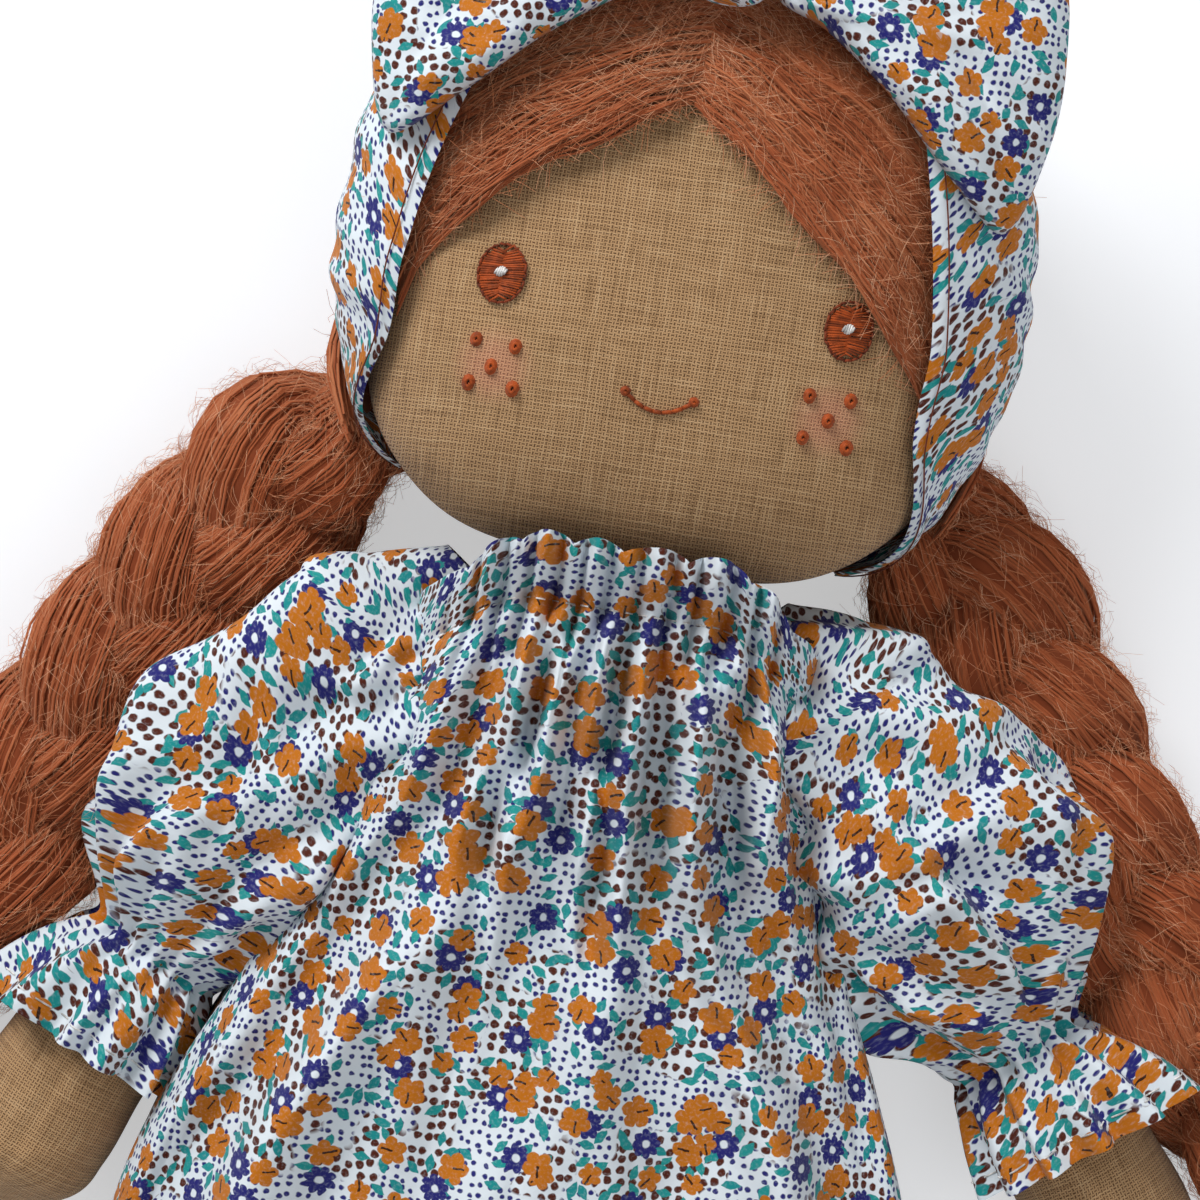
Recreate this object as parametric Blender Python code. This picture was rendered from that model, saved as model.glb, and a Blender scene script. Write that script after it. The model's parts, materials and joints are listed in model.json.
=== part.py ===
"""A sewn rag doll lying on its back: +Z is the doll's front, +Y points to its head, +X is its left side.

The origin lies under the chest, on the flat back of the dress. Lengths are in metres. Places along the body
are measured from the neckline, up towards the head, and turned into world places by along_body().
"""

import math

import bmesh
import bpy
import numpy as np
from mathutils import Matrix, Vector

# Cloth, stuffing and clearances
linen_wall = 0.0016
pocket_wall = 0.0010
cotton_wall = 0.0012
clearance = 0.0003
facet_clearance = 0.0007
hair_clearance = 0.0010
rest_flat_depth = 0.0005
overrun = 0.004
turning_gap_length = 0.026
turning_gap_width = 0.004
limb_gap_length = 0.017
least_half_size = 0.0010

# Where the neckline lies over the origin
neckline_to_origin = 0.060

# Head
head_width = 0.112
head_height = 0.114
head_thickness = 0.062
chin_below_neckline = 0.002
hair_thickness = 0.0040
hair_end_thickness = 0.0010
hair_thins_from = 0.046
hair_thins_to = 0.018
crown_power_share = 2.3
chin_power_share = 3.0
profile_power_share = 2.4
elastic_power_share = 2.6
arch_power_share = 3.4

# Face, measured from the neckline and from the middle of the face
eye_height = 0.0464
eye_spacing = 0.0626
eye_width = 0.0085
eye_length = 0.0104
eye_thickness = 0.0008
glint_width = 0.0023
glint_length = 0.0016
glint_thickness = 0.0005
mouth_width = 0.0123
mouth_height = 0.0293
mouth_depth = 0.0029
mouth_line_width = 0.0013
mouth_thickness = 0.0008
freckle_patch_spacing = 0.0604
freckle_patch_height = 0.0300
freckle_spacing = 0.0078
freckle_diameter = 0.0022
freckle_thickness = 0.0005

# Bare forehead between the two sweeps of hair
forehead_width = 0.096
forehead_bottom = 0.034
parting_height = 0.080

# Headband and bow
band_wall = 0.0014
nape_elastic_width = 0.006
nape_elastic_thickness = 0.0014
bow_span = 0.124
bow_drop = 0.042
bow_height = 0.1065
bow_thickness = 0.011
knot_width = 0.017
knot_length = 0.021
knot_thickness = 0.014

# Torso and neck
torso_width = 0.072
torso_thickness = 0.045
torso_top = 0.008
torso_bottom = 0.135
neck_diameter = 0.020
neck_below_neckline = 0.004
neck_lift = 0.030

# Arms
shoulder_spacing = 0.070
shoulder_below_neckline = 0.026
shoulder_ball_diameter = 0.025
shoulder_height = 0.0200
arm_diameter = 0.029
arm_length = 0.132
cuff_distance_share = 0.56
arm_gap_distance_share = 0.81
pocket_clearance = 0.0008

# Sleeves
sleeve_puff = 0.021
sleeve_rise = 0.012
sleeve_ruffle_length = 0.021
cuff_elastic_width = 0.004
cuff_elastic_thickness = 0.0008

# Dress
dress_length = 0.205
neckline_width = 0.078
hem_width = 0.176
chest_height = 0.0508
hem_height = 0.052
ruffle_height = 0.002
ruffle_lean = 0.0068
elastic_below_neckline = 0.0095
elastic_width = 0.0024
elastic_thickness = 0.0010
fold_depth = 0.0026
gather_depth = 0.0010
cuff_room = 0.0022

# Legs and shoes
hip_spacing = 0.038
hip_height = 0.0215
leg_diameter = 0.035
leg_length = 0.176
foot_bend_radius = 0.020
foot_length = 0.024
shoe_wall = 0.0016
shoe_reach = 0.046
seam_width = 0.060
seam_diameter = 0.0030

# Braids
braid_width = 0.040
braid_thickness = 0.029
braid_root_diameter = 0.026
braid_root_offset = 0.0612
braid_root_height = 0.016
braid_length = 0.196
braid_pitch = 0.052
tie_width = 0.007
tie_diameter = 0.020
tassel_length = 0.034
tassel_width = 0.026

# Counts
head_turn_count = 36
head_tip_count = 12
limb_side_count = 14
limb_ring_count = 12
torso_ring_count = 12
core_side_count = 8
core_ring_count = 7
dress_side_count = 36
dress_ring_count = 12
dress_fold_count = 7
sleeve_side_count = 20
sleeve_ring_count = 13
braid_side_count = 14
braid_ring_count = 26
hair_row_count = 13
hair_column_count = 7
mouth_ring_count = 9
band_row_count = 15
band_column_count = 8
elastic_row_count = 13
bow_side_count = 22
knot_ring_count = 9
hoop_side_count = 32
tie_side_count = 14
path_step_count = 60

quarter = math.pi / 2
full_turn = 2 * math.pi

linen = ((0.434, 0.287, 0.138, 1.0), 0.92)
stuffing = ((0.80, 0.78, 0.74, 1.0), 0.98)
print_cotton = ((0.70, 0.73, 0.74, 1.0), 0.85)
yarn = ((0.376, 0.091, 0.034, 1.0), 0.95)
rust_thread = ((0.305, 0.045, 0.007, 1.0), 0.60)
white_thread = ((0.85, 0.84, 0.82, 1.0), 0.60)
rubber = ((0.75, 0.75, 0.72, 1.0), 0.70)
felt = ((0.19, 0.075, 0.035, 1.0), 0.95)


def along_body(height):
    """World y of a place that lies this far from the neckline towards the head."""
    return neckline_to_origin + height


def rounded(value, power):
    """Sine or cosine bent to a superellipse of that power."""
    return np.sign(value) * np.abs(value) ** (2 / power)


def smooth_step(values, low, high):
    """Climbs from 0 at low to 1 at high with level ends."""
    t = np.clip((np.asarray(values, float) - low) / (high - low), 0, 1)
    return t * t * (3 - 2 * t)


def by_shares(table_share, at):
    """Reads every column of a table of shares at the first column's values, on a smooth curve."""
    table = np.array(table_share, float)
    at = np.clip(np.atleast_1d(at), table[0, 0], table[-1, 0])
    index = np.clip(np.searchsorted(table[:, 0], at) - 1, 0, len(table) - 2)
    span = table[index + 1, 0] - table[index, 0]
    t = ((at - table[index, 0]) / span)[:, None]
    slopes = np.gradient(table[:, 1:], table[:, 0], axis=0)
    low, high = table[index, 1:], table[index + 1, 1:]
    low_slope, high_slope = slopes[index] * span[:, None], slopes[index + 1] * span[:, None]
    smooth = (2 * t**3 - 3 * t**2 + 1) * low + (t**3 - 2 * t**2 + t) * low_slope
    return smooth + (3 * t**2 - 2 * t**3) * high + (t**3 - t**2) * high_slope


def material_for(name, look):
    """A plain finish in the colour of the real one."""
    found = bpy.data.materials.get(name)
    if found:
        return found
    finish = bpy.data.materials.new(name)
    finish.use_nodes = True
    shader = finish.node_tree.nodes["Principled BSDF"]
    shader.inputs["Base Color"].default_value = look[0]
    shader.inputs["Roughness"].default_value = look[1]
    finish.diffuse_color = look[0]
    return finish


def add_piece(name, points, faces, look, pivot=(0, 0, 0)):
    """One closed solid as its own object, its origin on the pivot that it turns about."""
    mesh = bpy.data.meshes.new(name)
    mesh.from_pydata([tuple(p) for p in points], [], faces)
    work = bmesh.new()
    work.from_mesh(mesh)
    bmesh.ops.recalc_face_normals(work, faces=work.faces)
    work.to_mesh(mesh)
    work.free()
    mesh.transform(Matrix.Translation(-Vector(pivot)))
    mesh.shade_smooth()
    piece = bpy.data.objects.new(name, mesh)
    piece.location = pivot
    piece.data.materials.append(material_for(name, look))
    bpy.context.scene.collection.objects.link(piece)
    return piece


def as_cutter(piece):
    """Marks a guide solid that only cuts others."""
    piece.hide_render = True
    piece.display_type = "WIRE"
    return piece


def cut_by(piece, *cutters):
    """Takes the cutters' space out of the piece."""
    for cutter in cutters:
        cut = piece.modifiers.new("cut_" + cutter.name, "BOOLEAN")
        cut.operation = "DIFFERENCE"
        cut.solver = "EXACT"
        cut.object = cutter
    return piece


def grid_faces(rows, columns, first=0, around=True, along=False):
    """Quads of a grid of points, joined round where asked."""
    faces = []
    for r in range(rows if along else rows - 1):
        for c in range(columns if around else columns - 1):
            a = first + r * columns + c
            b = first + r * columns + (c + 1) % columns
            next_row = ((r + 1) % rows) * columns
            faces.append((a, b, first + next_row + (c + 1) % columns, first + next_row + c))
    return faces


def cap_faces(columns, first, pole):
    """A fan from one ring to its pole."""
    return [(first + c, first + (c + 1) % columns, pole) for c in range(columns)]


def closed_loft(rings, start, end):
    """A solid through rings of points, each end closed to a pole."""
    rows, columns = rings.shape[:2]
    points = np.concatenate([rings.reshape(-1, 3), [start, end]])
    faces = grid_faces(rows, columns)
    faces += cap_faces(columns, 0, rows * columns)
    faces += cap_faces(columns, (rows - 1) * columns, rows * columns + 1)
    return points, faces


def tube_shell(outer, inner):
    """A wall between two tubes of rings, open at both ends."""
    rows, columns = outer.shape[:2]
    size = rows * columns
    points = np.concatenate([outer.reshape(-1, 3), inner.reshape(-1, 3)])
    faces = grid_faces(rows, columns) + grid_faces(rows, columns, size)
    for row in (0, rows - 1):
        for c in range(columns):
            a, b = row * columns + c, row * columns + (c + 1) % columns
            faces.append((a, b, b + size, a + size))
    return points, faces


def cup_shell(outer, inner, outer_pole, inner_pole):
    """A wall that is open at the first ring and closed to a pole past the last."""
    rows, columns = outer.shape[:2]
    size = rows * columns
    points = np.concatenate([outer.reshape(-1, 3), inner.reshape(-1, 3), [outer_pole, inner_pole]])
    faces = grid_faces(rows, columns) + grid_faces(rows, columns, size)
    faces += [(c, (c + 1) % columns, (c + 1) % columns + size, c + size) for c in range(columns)]
    last = (rows - 1) * columns
    faces += cap_faces(columns, last, 2 * size) + cap_faces(columns, size + last, 2 * size + 1)
    return points, faces


def sheet_solid(top, bottom):
    """A wall between two open grids, closed along its four edges."""
    rows, columns = top.shape[:2]
    size = rows * columns
    points = np.concatenate([top.reshape(-1, 3), bottom.reshape(-1, 3)])
    faces = grid_faces(rows, columns, 0, False) + grid_faces(rows, columns, size, False)
    edge = [c for c in range(columns)]
    edge += [r * columns + columns - 1 for r in range(1, rows)]
    edge += [(rows - 1) * columns + c for c in range(columns - 2, -1, -1)]
    edge += [r * columns for r in range(rows - 2, 0, -1)]
    for a, b in zip(edge, edge[1:] + edge[:1]):
        faces.append((a, b, b + size, a + size))
    return points, faces


def ring_solid(rings):
    """A closed hoop: rows run round the hoop, columns round its section."""
    rows, columns = rings.shape[:2]
    return rings.reshape(-1, 3), grid_faces(rows, columns, 0, True, True)


def ball(name, centre, diameter, look=stuffing, side_count=16, ring_count=8):
    """A round solid about a joint's centre."""
    tips = np.linspace(0, math.pi, ring_count + 1)[1:-1]
    turns = np.linspace(0, full_turn, side_count, endpoint=False)
    unit = np.stack(
        [
            np.outer(np.sin(tips), np.cos(turns)),
            np.outer(np.sin(tips), np.sin(turns)),
            np.outer(np.cos(tips), np.ones(side_count)),
        ],
        axis=-1,
    )
    radius = diameter / 2
    up = np.array([0, 0, radius])
    centre = np.array(centre)
    points, faces = closed_loft(centre + unit * radius, centre + up, centre - up)
    return add_piece(name, points, faces, look, tuple(centre))


def block(name, low, high, look=stuffing):
    """A box between two corners."""
    x, y, z = zip(low, high)
    points = [(x[i], y[j], z[k]) for k in (0, 1) for j in (0, 1) for i in (0, 1)]
    faces = [(0, 1, 3, 2), (4, 5, 7, 6), (0, 1, 5, 4), (2, 3, 7, 6), (0, 2, 6, 4), (1, 3, 7, 5)]
    return add_piece(name, points, faces, look)


# Shared places that follow from the sizes above
head_lift = head_thickness / 2 + hair_thickness + hair_clearance - rest_flat_depth
head_middle = head_height / 2 - chin_below_neckline
neck_centre = (0, along_body(-neck_below_neckline), neck_lift)
torso_lift = cotton_wall + clearance + torso_thickness / 2
sit_axis = (0, along_body(-torso_bottom - clearance - seam_diameter / 2), hip_height)
cuff_distance = cuff_distance_share * arm_length


def head_rim(turn):
    """Plan radius of the head's outline, for half sizes of 1, in a direction counted from +X."""
    power = np.where(np.sin(turn) < 0, chin_power_share, crown_power_share)
    return (np.abs(np.cos(turn)) ** power + np.abs(np.sin(turn)) ** power) ** (-1 / power)


def head_point(turn, tip, lift):
    """A place on the head: turn runs round its outline, tip from the face to the back, lift off the linen."""
    turn, tip, lift = np.broadcast_arrays(turn, tip, lift)
    share = rounded(np.sin(tip), profile_power_share) * head_rim(turn)
    x = (head_width / 2 + lift) * share * np.cos(turn)
    y = along_body(head_middle) + (head_height / 2 + lift) * share * np.sin(turn)
    z = head_lift + (head_thickness / 2 + lift) * rounded(np.cos(tip), profile_power_share)
    return np.stack([x, y, z], axis=-1)


def face_height(x, height, lift, least_share=0.0):
    """World z of the head's front at a place, seen from the front."""
    across = np.abs(np.asarray(x, float)) / (head_width / 2 + lift)
    up = (np.asarray(height, float) - head_middle) / (head_height / 2 + lift)
    power = np.where(up < 0, chin_power_share, crown_power_share)
    rim = (across**power + np.abs(up) ** power) ** (1 / power)
    depth = np.clip(1 - rim**profile_power_share, least_share, 1)
    return head_lift + (head_thickness / 2 + lift) * depth ** (1 / profile_power_share)


def hair_lift(turn):
    """Thickness of the hair round the head: thin at the jaw, full from the cheeks up."""
    height = head_middle + head_height / 2 * np.sin(turn) * head_rim(turn)
    full = smooth_step(height, hair_thins_to, hair_thins_from)
    return hair_end_thickness + (hair_thickness - hair_end_thickness) * full


def head_rings(lift, turn_count, tip_count):
    """Rings from the face to the back, with the two poles."""
    turns = np.linspace(0, full_turn, turn_count, endpoint=False)
    tips = np.linspace(0, math.pi, tip_count + 1)[1:-1]
    rings = head_point(turns[None, :], tips[:, None], lift)
    return rings, head_point(0.0, 0.0, lift), head_point(0.0, math.pi, lift)


def make_head():
    """The linen head with its hand-sewn turning gap, and the stuffing inside."""
    neck_pocket = as_cutter(ball("neck_pocket_guide", neck_centre, neck_diameter + 2 * pocket_clearance))
    outer, front, back = head_rings(0.0, head_turn_count, head_tip_count)
    points, faces = closed_loft(outer, front, back)
    skin = add_piece("head_linen", points, faces, linen, neck_centre)
    inner, front, back = head_rings(-linen_wall, head_turn_count // 2, head_tip_count // 2)
    points, faces = closed_loft(inner, front, back)
    space = as_cutter(add_piece("head_space_guide", points, faces, stuffing))
    crown = along_body(head_middle + head_height / 2)
    gap = as_cutter(
        block(
            "head_gap_guide",
            (-turning_gap_length / 2, crown - 2 * overrun, head_lift - turning_gap_width / 2),
            (turning_gap_length / 2, crown + overrun, head_lift + turning_gap_width / 2),
        )
    )
    wall_ball = as_cutter(
        ball("neck_wall_guide", neck_centre, neck_diameter + 2 * (pocket_clearance + pocket_wall))
    )
    cut_by(space, wall_ball)
    cut_by(skin, space, gap, neck_pocket)
    inner, front, back = head_rings(
        -(linen_wall + clearance), head_turn_count // 2, head_tip_count // 2
    )
    points, faces = closed_loft(inner, front, back)
    core = add_piece("head_stuffing", points, faces, stuffing, neck_centre)
    core_ball = as_cutter(
        ball(
            "neck_stuffing_guide",
            neck_centre,
            neck_diameter + 2 * (pocket_clearance + pocket_wall + clearance),
        )
    )
    cut_by(core, core_ball)
    return neck_pocket


def make_neck():
    """The short stuffed neck between the head's seam and the shoulders."""
    return ball("neck", neck_centre, neck_diameter, linen)


def face_pad(name, x, height, width, length, thickness, look, lift=clearance, side_count=12):
    """A patch of raised stitches that follows the linen."""
    turns = np.linspace(0, full_turn, side_count, endpoint=False)
    top, bottom = [], []
    for share in (1, 1 / 2):
        px = x + width / 2 * share * np.cos(turns)
        ph = height + length / 2 * share * np.sin(turns)
        base = face_height(px, ph, lift)
        bottom.append(np.stack([px, along_body(ph), base], axis=-1))
        rise = thickness * math.sqrt(1 - (share * dome_share) ** 2)
        top.append(np.stack([px, along_body(ph), base + rise], axis=-1))
    top, bottom = np.array(top), np.array(bottom)
    middle = np.array([x, along_body(height), float(face_height(x, height, lift))])
    points, faces = cup_shell(top, bottom, middle + np.array([0, 0, thickness]), middle)
    return add_piece(name, points, faces, look, neck_centre)


dome_share = 0.85
freckle_place_shares = [
    ("middle", 0, 0),
    ("top_in", -1, 1),
    ("top_out", 1, 1),
    ("low_in", -1, -1),
    ("low_out", 1, -1),
]


def make_face():
    """Embroidered eyes with their glints, a smile and two patches of freckle knots."""
    for side, word in ((-1, "right"), (1, "left")):
        x = side * eye_spacing / 2
        face_pad(word + "_eye", x, eye_height, eye_width, eye_length, eye_thickness, rust_thread)
        face_pad(
            word + "_eye_glint",
            x,
            eye_height,
            glint_width,
            glint_length,
            glint_thickness,
            white_thread,
            eye_thickness + 2 * clearance,
            core_side_count,
        )
        for place, across_share, up_share in freckle_place_shares:
            face_pad(
                f"{word}_freckle_{place}",
                side * freckle_patch_spacing / 2 + across_share * side * freckle_spacing / 2,
                freckle_patch_height + up_share * freckle_spacing / 2,
                freckle_diameter,
                freckle_diameter,
                freckle_thickness,
                rust_thread,
                clearance,
                core_side_count - 2,
            )
    across = np.linspace(-1, 1, mouth_ring_count)
    px = np.repeat((mouth_width / 2 * across)[:, None], 3, axis=1)
    middle = mouth_height - mouth_depth * (1 - across**2)
    ph = middle[:, None] + np.array([-1, 0, 1])[None, :] * mouth_line_width / 2
    base = face_height(px, ph, clearance)
    bottom = np.stack([px, along_body(ph), base], axis=-1)
    top = bottom + np.array([0, 0, mouth_thickness])
    points, faces = sheet_solid(top, bottom)
    add_piece("mouth", points, faces, rust_thread, neck_centre)


# Hair: how the forehead's edge bends, how thin the yarn starts there, and where the cap's front edge lies
forehead_bend_share = 0.6
hair_edge_share = 0.35
hair_seam_angle = math.radians(2)
cap_jaw_angle = math.radians(32)
cap_jaw_from = math.sin(math.radians(10))
cap_jaw_to = math.sin(math.radians(55))


def forehead_edge(count):
    """Turn and share of the hair's inner edge, from beside the eye up to the parting."""
    across_share = np.cos(np.linspace(0, quarter, count))
    rise_share = 1 - across_share ** (1 / forehead_bend_share)
    height = forehead_bottom + (parting_height - forehead_bottom) * rise_share
    x = forehead_width / 2 * across_share / (head_width / 2)
    y = (height - head_middle) / (head_height / 2)
    turn = np.arctan2(y, x)
    share = np.hypot(x, y) / head_rim(turn)
    return turn, np.clip(share, 0, 1)


def make_hair():
    """Two sweeps of yarn over the forehead and the cap at the back of the head."""
    column_share = np.linspace(0, 1, hair_column_count)
    edge_share = np.linspace(hair_edge_share, 1, hair_column_count)
    side_end = quarter - hair_seam_angle
    for side, word in ((-1, "right"), (1, "left")):
        turn, share = forehead_edge(hair_row_count)
        tip_inner = np.arcsin(share ** (profile_power_share / 2))
        tip = tip_inner[:, None] + (side_end - tip_inner)[:, None] * column_share[None, :]
        lift = hair_clearance + hair_lift(turn)[:, None] * np.sqrt(edge_share)[None, :]
        top = head_point(turn[:, None], tip, lift)
        bottom = head_point(turn[:, None], tip, hair_clearance)
        for grid in (top, bottom):
            grid[..., 0] = side * (grid[..., 0] + clearance / 2)
        points, faces = sheet_solid(top, bottom)
        add_piece(word + "_front_hair", points, faces, yarn, neck_centre)
    turns = np.linspace(0, full_turn, hoop_side_count, endpoint=False)
    chin_side = smooth_step(-np.sin(turns), cap_jaw_from, cap_jaw_to)
    start = quarter + hair_seam_angle + cap_jaw_angle * chin_side
    rows = np.linspace(0, 1, hair_column_count, endpoint=False)[:, None]
    tips = start[None, :] + (math.pi - start)[None, :] * rows
    full = hair_clearance + hair_lift(turns)[None, :]
    back_lift = full + (hair_clearance + hair_thickness - full) * smooth_step(rows, 0, 1)
    outer = head_point(turns[None, :], tips, back_lift)
    inner = head_point(turns[None, :], tips, hair_clearance)
    outer[..., 2] = np.maximum(outer[..., 2], 0)
    inner_pole = head_point(0.0, math.pi, hair_clearance)
    points, faces = cup_shell(outer, inner, (inner_pole[0], inner_pole[1], 0), inner_pole)
    add_piece("back_hair", points, faces, yarn, neck_centre)


# Headband: direction in shares of a right angle from the side, share of the front edge, and the width of the
# part past the outline in shares of a right angle
band_edge_shares = [
    (-0.56, 0.985, 0.04),
    (-0.44, 0.940, 0.16),
    (-0.25, 0.862, 0.32),
    (0.00, 0.800, 0.42),
    (0.30, 0.765, 0.46),
    (0.60, 0.830, 0.44),
    (0.80, 0.885, 0.42),
    (1.00, 0.900, 0.42),
]
band_end_share = band_edge_shares[0][0]

# Nape elastic: how far it starts past the band's end and behind the outline, and how far it dips to the back
elastic_start_share = 0.02
elastic_back_share = 0.07
elastic_dip_share = 0.26


def band_lift(turn):
    """The inside of the headband: over the hair and clear of it."""
    return hair_lift(turn) + hair_clearance + facet_clearance


def make_headband():
    """The wide printed headband from jaw to jaw over the crown, with the elastic that closes it."""
    one_side = np.linspace(band_end_share, 1, band_row_count)
    turn_share = np.concatenate([one_side, 2 - one_side[::-1][1:]])
    folded = np.where(turn_share > 1, 2 - turn_share, turn_share)
    edges = by_shares(band_edge_shares, folded)
    turn = turn_share * quarter
    tip_front = np.arcsin(np.clip(edges[:, 0], 0, 1) ** (profile_power_share / 2))
    tip_back = quarter + edges[:, 1] * quarter
    column_share = np.linspace(0, 1, band_column_count)
    tip = tip_front[:, None] + (tip_back - tip_front)[:, None] * column_share[None, :]
    lift = band_lift(turn)[:, None]
    top = head_point(turn[:, None], tip, lift + band_wall)
    bottom = head_point(turn[:, None], tip, lift)
    points, faces = sheet_solid(top, bottom)
    add_piece("headband", points, faces, print_cotton, neck_centre)

    end_turn = (band_end_share - elastic_start_share) * quarter
    turns = np.linspace(end_turn, -math.pi - end_turn, elastic_row_count)
    dip = np.sqrt(np.sin(np.linspace(0, math.pi, elastic_row_count)))
    middle = quarter + quarter * (elastic_back_share + elastic_dip_share * dip)
    half = nape_elastic_width / head_thickness
    tips = middle[:, None] + half * np.array([-1, 0, 1])[None, :]
    low = 2 * hair_end_thickness * smooth_step(dip, 0, 1) + clearance
    top = head_point(turns[:, None], tips, low[:, None] + nape_elastic_thickness)
    bottom = head_point(turns[:, None], tips, low[:, None])
    points, faces = sheet_solid(top, bottom)
    return add_piece("nape_elastic", points, faces, rubber, neck_centre)


# One loop of the bow: shares of half its span, and of its drop from the knot
bow_outline_shares = [
    (0.14, 0.13),
    (0.40, 0.30),
    (0.72, 0.36),
    (0.94, 0.18),
    (1.00, -0.22),
    (0.99, -0.60),
    (0.90, -0.98),
    (0.70, -0.78),
    (0.50, -0.50),
    (0.30, -0.28),
    (0.14, -0.16),
]
bow_ring_shares = (1.0, 0.72, 0.40)
bow_edge_share = 0.22
bow_level_share = 0.28


def closed_curve(points, count):
    """A smooth closed curve through the points."""
    points = np.array(points, float)
    at = np.linspace(0, len(points), count, endpoint=False)
    index = at.astype(int)
    t = (at - index)[:, None]
    before, here, after, later = (points[(index + k) % len(points)] for k in (-1, 0, 1, 2))
    cubic = 3 * here - before - 3 * after + later
    square = 2 * before - 5 * here + 4 * after - later
    return here + 0.5 * t * (after - before + t * (square + t * cubic))


def bow_rest(x, height):
    """World z of what the bow lies on: the headband, and level air past the head's outline."""
    lift = hair_thickness + band_wall + hair_clearance + 2 * facet_clearance
    return face_height(x, height, lift, bow_level_share)


def make_bow():
    """Two soft loops and the knot that holds them, in front of the headband."""
    for side, word in ((-1, "right"), (1, "left")):
        outline = closed_curve(bow_outline_shares, bow_side_count)
        px_rim = outline[:, 0] * bow_span / 2
        ph_rim = bow_height + outline[:, 1] * bow_drop
        middle = np.array([px_rim.mean(), ph_rim.mean()])
        top, bottom = [], []
        for share in bow_ring_shares:
            px = middle[0] + share * (px_rim - middle[0])
            ph = middle[1] + share * (ph_rim - middle[1])
            base = bow_rest(px, ph)
            rise = bow_thickness * (bow_edge_share + (1 - bow_edge_share) * math.sqrt(1 - share**2))
            bottom.append(np.stack([side * px, along_body(ph), base], axis=-1))
            top.append(np.stack([side * px, along_body(ph), base + rise], axis=-1))
        base = float(bow_rest(*middle))
        low = (side * middle[0], along_body(middle[1]), base)
        high = (low[0], low[1], base + bow_thickness)
        points, faces = cup_shell(np.array(top), np.array(bottom), high, low)
        add_piece(word + "_bow_loop", points, faces, print_cotton, neck_centre)
    turns = np.linspace(0, full_turn, limb_side_count, endpoint=False)
    rings = []
    base = float(bow_rest(0, bow_height)) + facet_clearance
    shares = np.cos(np.linspace(0, math.pi, knot_ring_count))[1:-1]
    for share in shares:
        wide = math.sqrt(1 - share**4)
        x = knot_width / 2 * wide * rounded(np.cos(turns), profile_power_share)
        z = base + knot_thickness / 2 * (1 + wide * rounded(np.sin(turns), profile_power_share))
        y = np.full_like(x, along_body(bow_height + share * knot_length / 2))
        rings.append(np.stack([x, y, z], axis=-1))
    ends = [(0, along_body(bow_height + s * knot_length / 2), base + knot_thickness / 2) for s in (1, -1)]
    points, faces = closed_loft(np.array(rings), *ends)
    knot = add_piece("bow_knot", points, faces, print_cotton, neck_centre)
    knot_space = as_cutter(
        block(
            "knot_space_guide",
            (-knot_width / 2 - clearance, along_body(bow_height - knot_length), base - overrun),
            (knot_width / 2 + clearance, along_body(bow_height + knot_length), base + 2 * knot_thickness),
        )
    )
    for word in ("right", "left"):
        cut_by(bpy.data.objects[word + "_bow_loop"], knot_space)
    return knot


# Torso: share of the way down, of the width and of the thickness
torso_shares = [
    (0.00, 0.34, 0.30),
    (0.03, 0.50, 0.52),
    (0.09, 0.70, 0.74),
    (0.18, 0.75, 0.90),
    (0.32, 0.86, 0.96),
    (0.50, 0.98, 0.98),
    (0.75, 0.99, 0.96),
    (0.83, 0.98, 0.88),
    (0.90, 0.93, 0.58),
    (0.97, 0.84, 0.18),
    (1.00, 0.76, 0.065),
]
torso_core_share = 0.90
torso_side_count = 24
torso_core_side_count = 12


def torso_rings(inset, side_count, ring_count, reach_share=1.0):
    """Rings of the torso from the shoulders to the seam that the legs hang from."""
    share = np.linspace(0, 1, ring_count)
    length = torso_bottom - torso_top
    height = -(torso_top + inset) - (length - 2 * inset) * share * reach_share
    sizes = by_shares(torso_shares, (-height - torso_top) / length)
    turns = np.linspace(0, full_turn, side_count, endpoint=False)
    half_width = np.maximum(sizes[:, 0] * torso_width / 2 - inset, inset)
    half_thickness = np.maximum(sizes[:, 1] * torso_thickness / 2 - inset, inset)
    x = half_width[:, None] * rounded(np.cos(turns), profile_power_share)
    z = torso_lift + half_thickness[:, None] * rounded(np.sin(turns), profile_power_share)
    y = np.repeat(along_body(height)[:, None], side_count, axis=1)
    rings = np.stack([x, y, z], axis=-1)
    return rings, rings[0].mean(axis=0), rings[-1].mean(axis=0)


def shoulder(side):
    """World place of a shoulder's centre."""
    return (side * shoulder_spacing / 2, along_body(-shoulder_below_neckline), shoulder_height)


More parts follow.
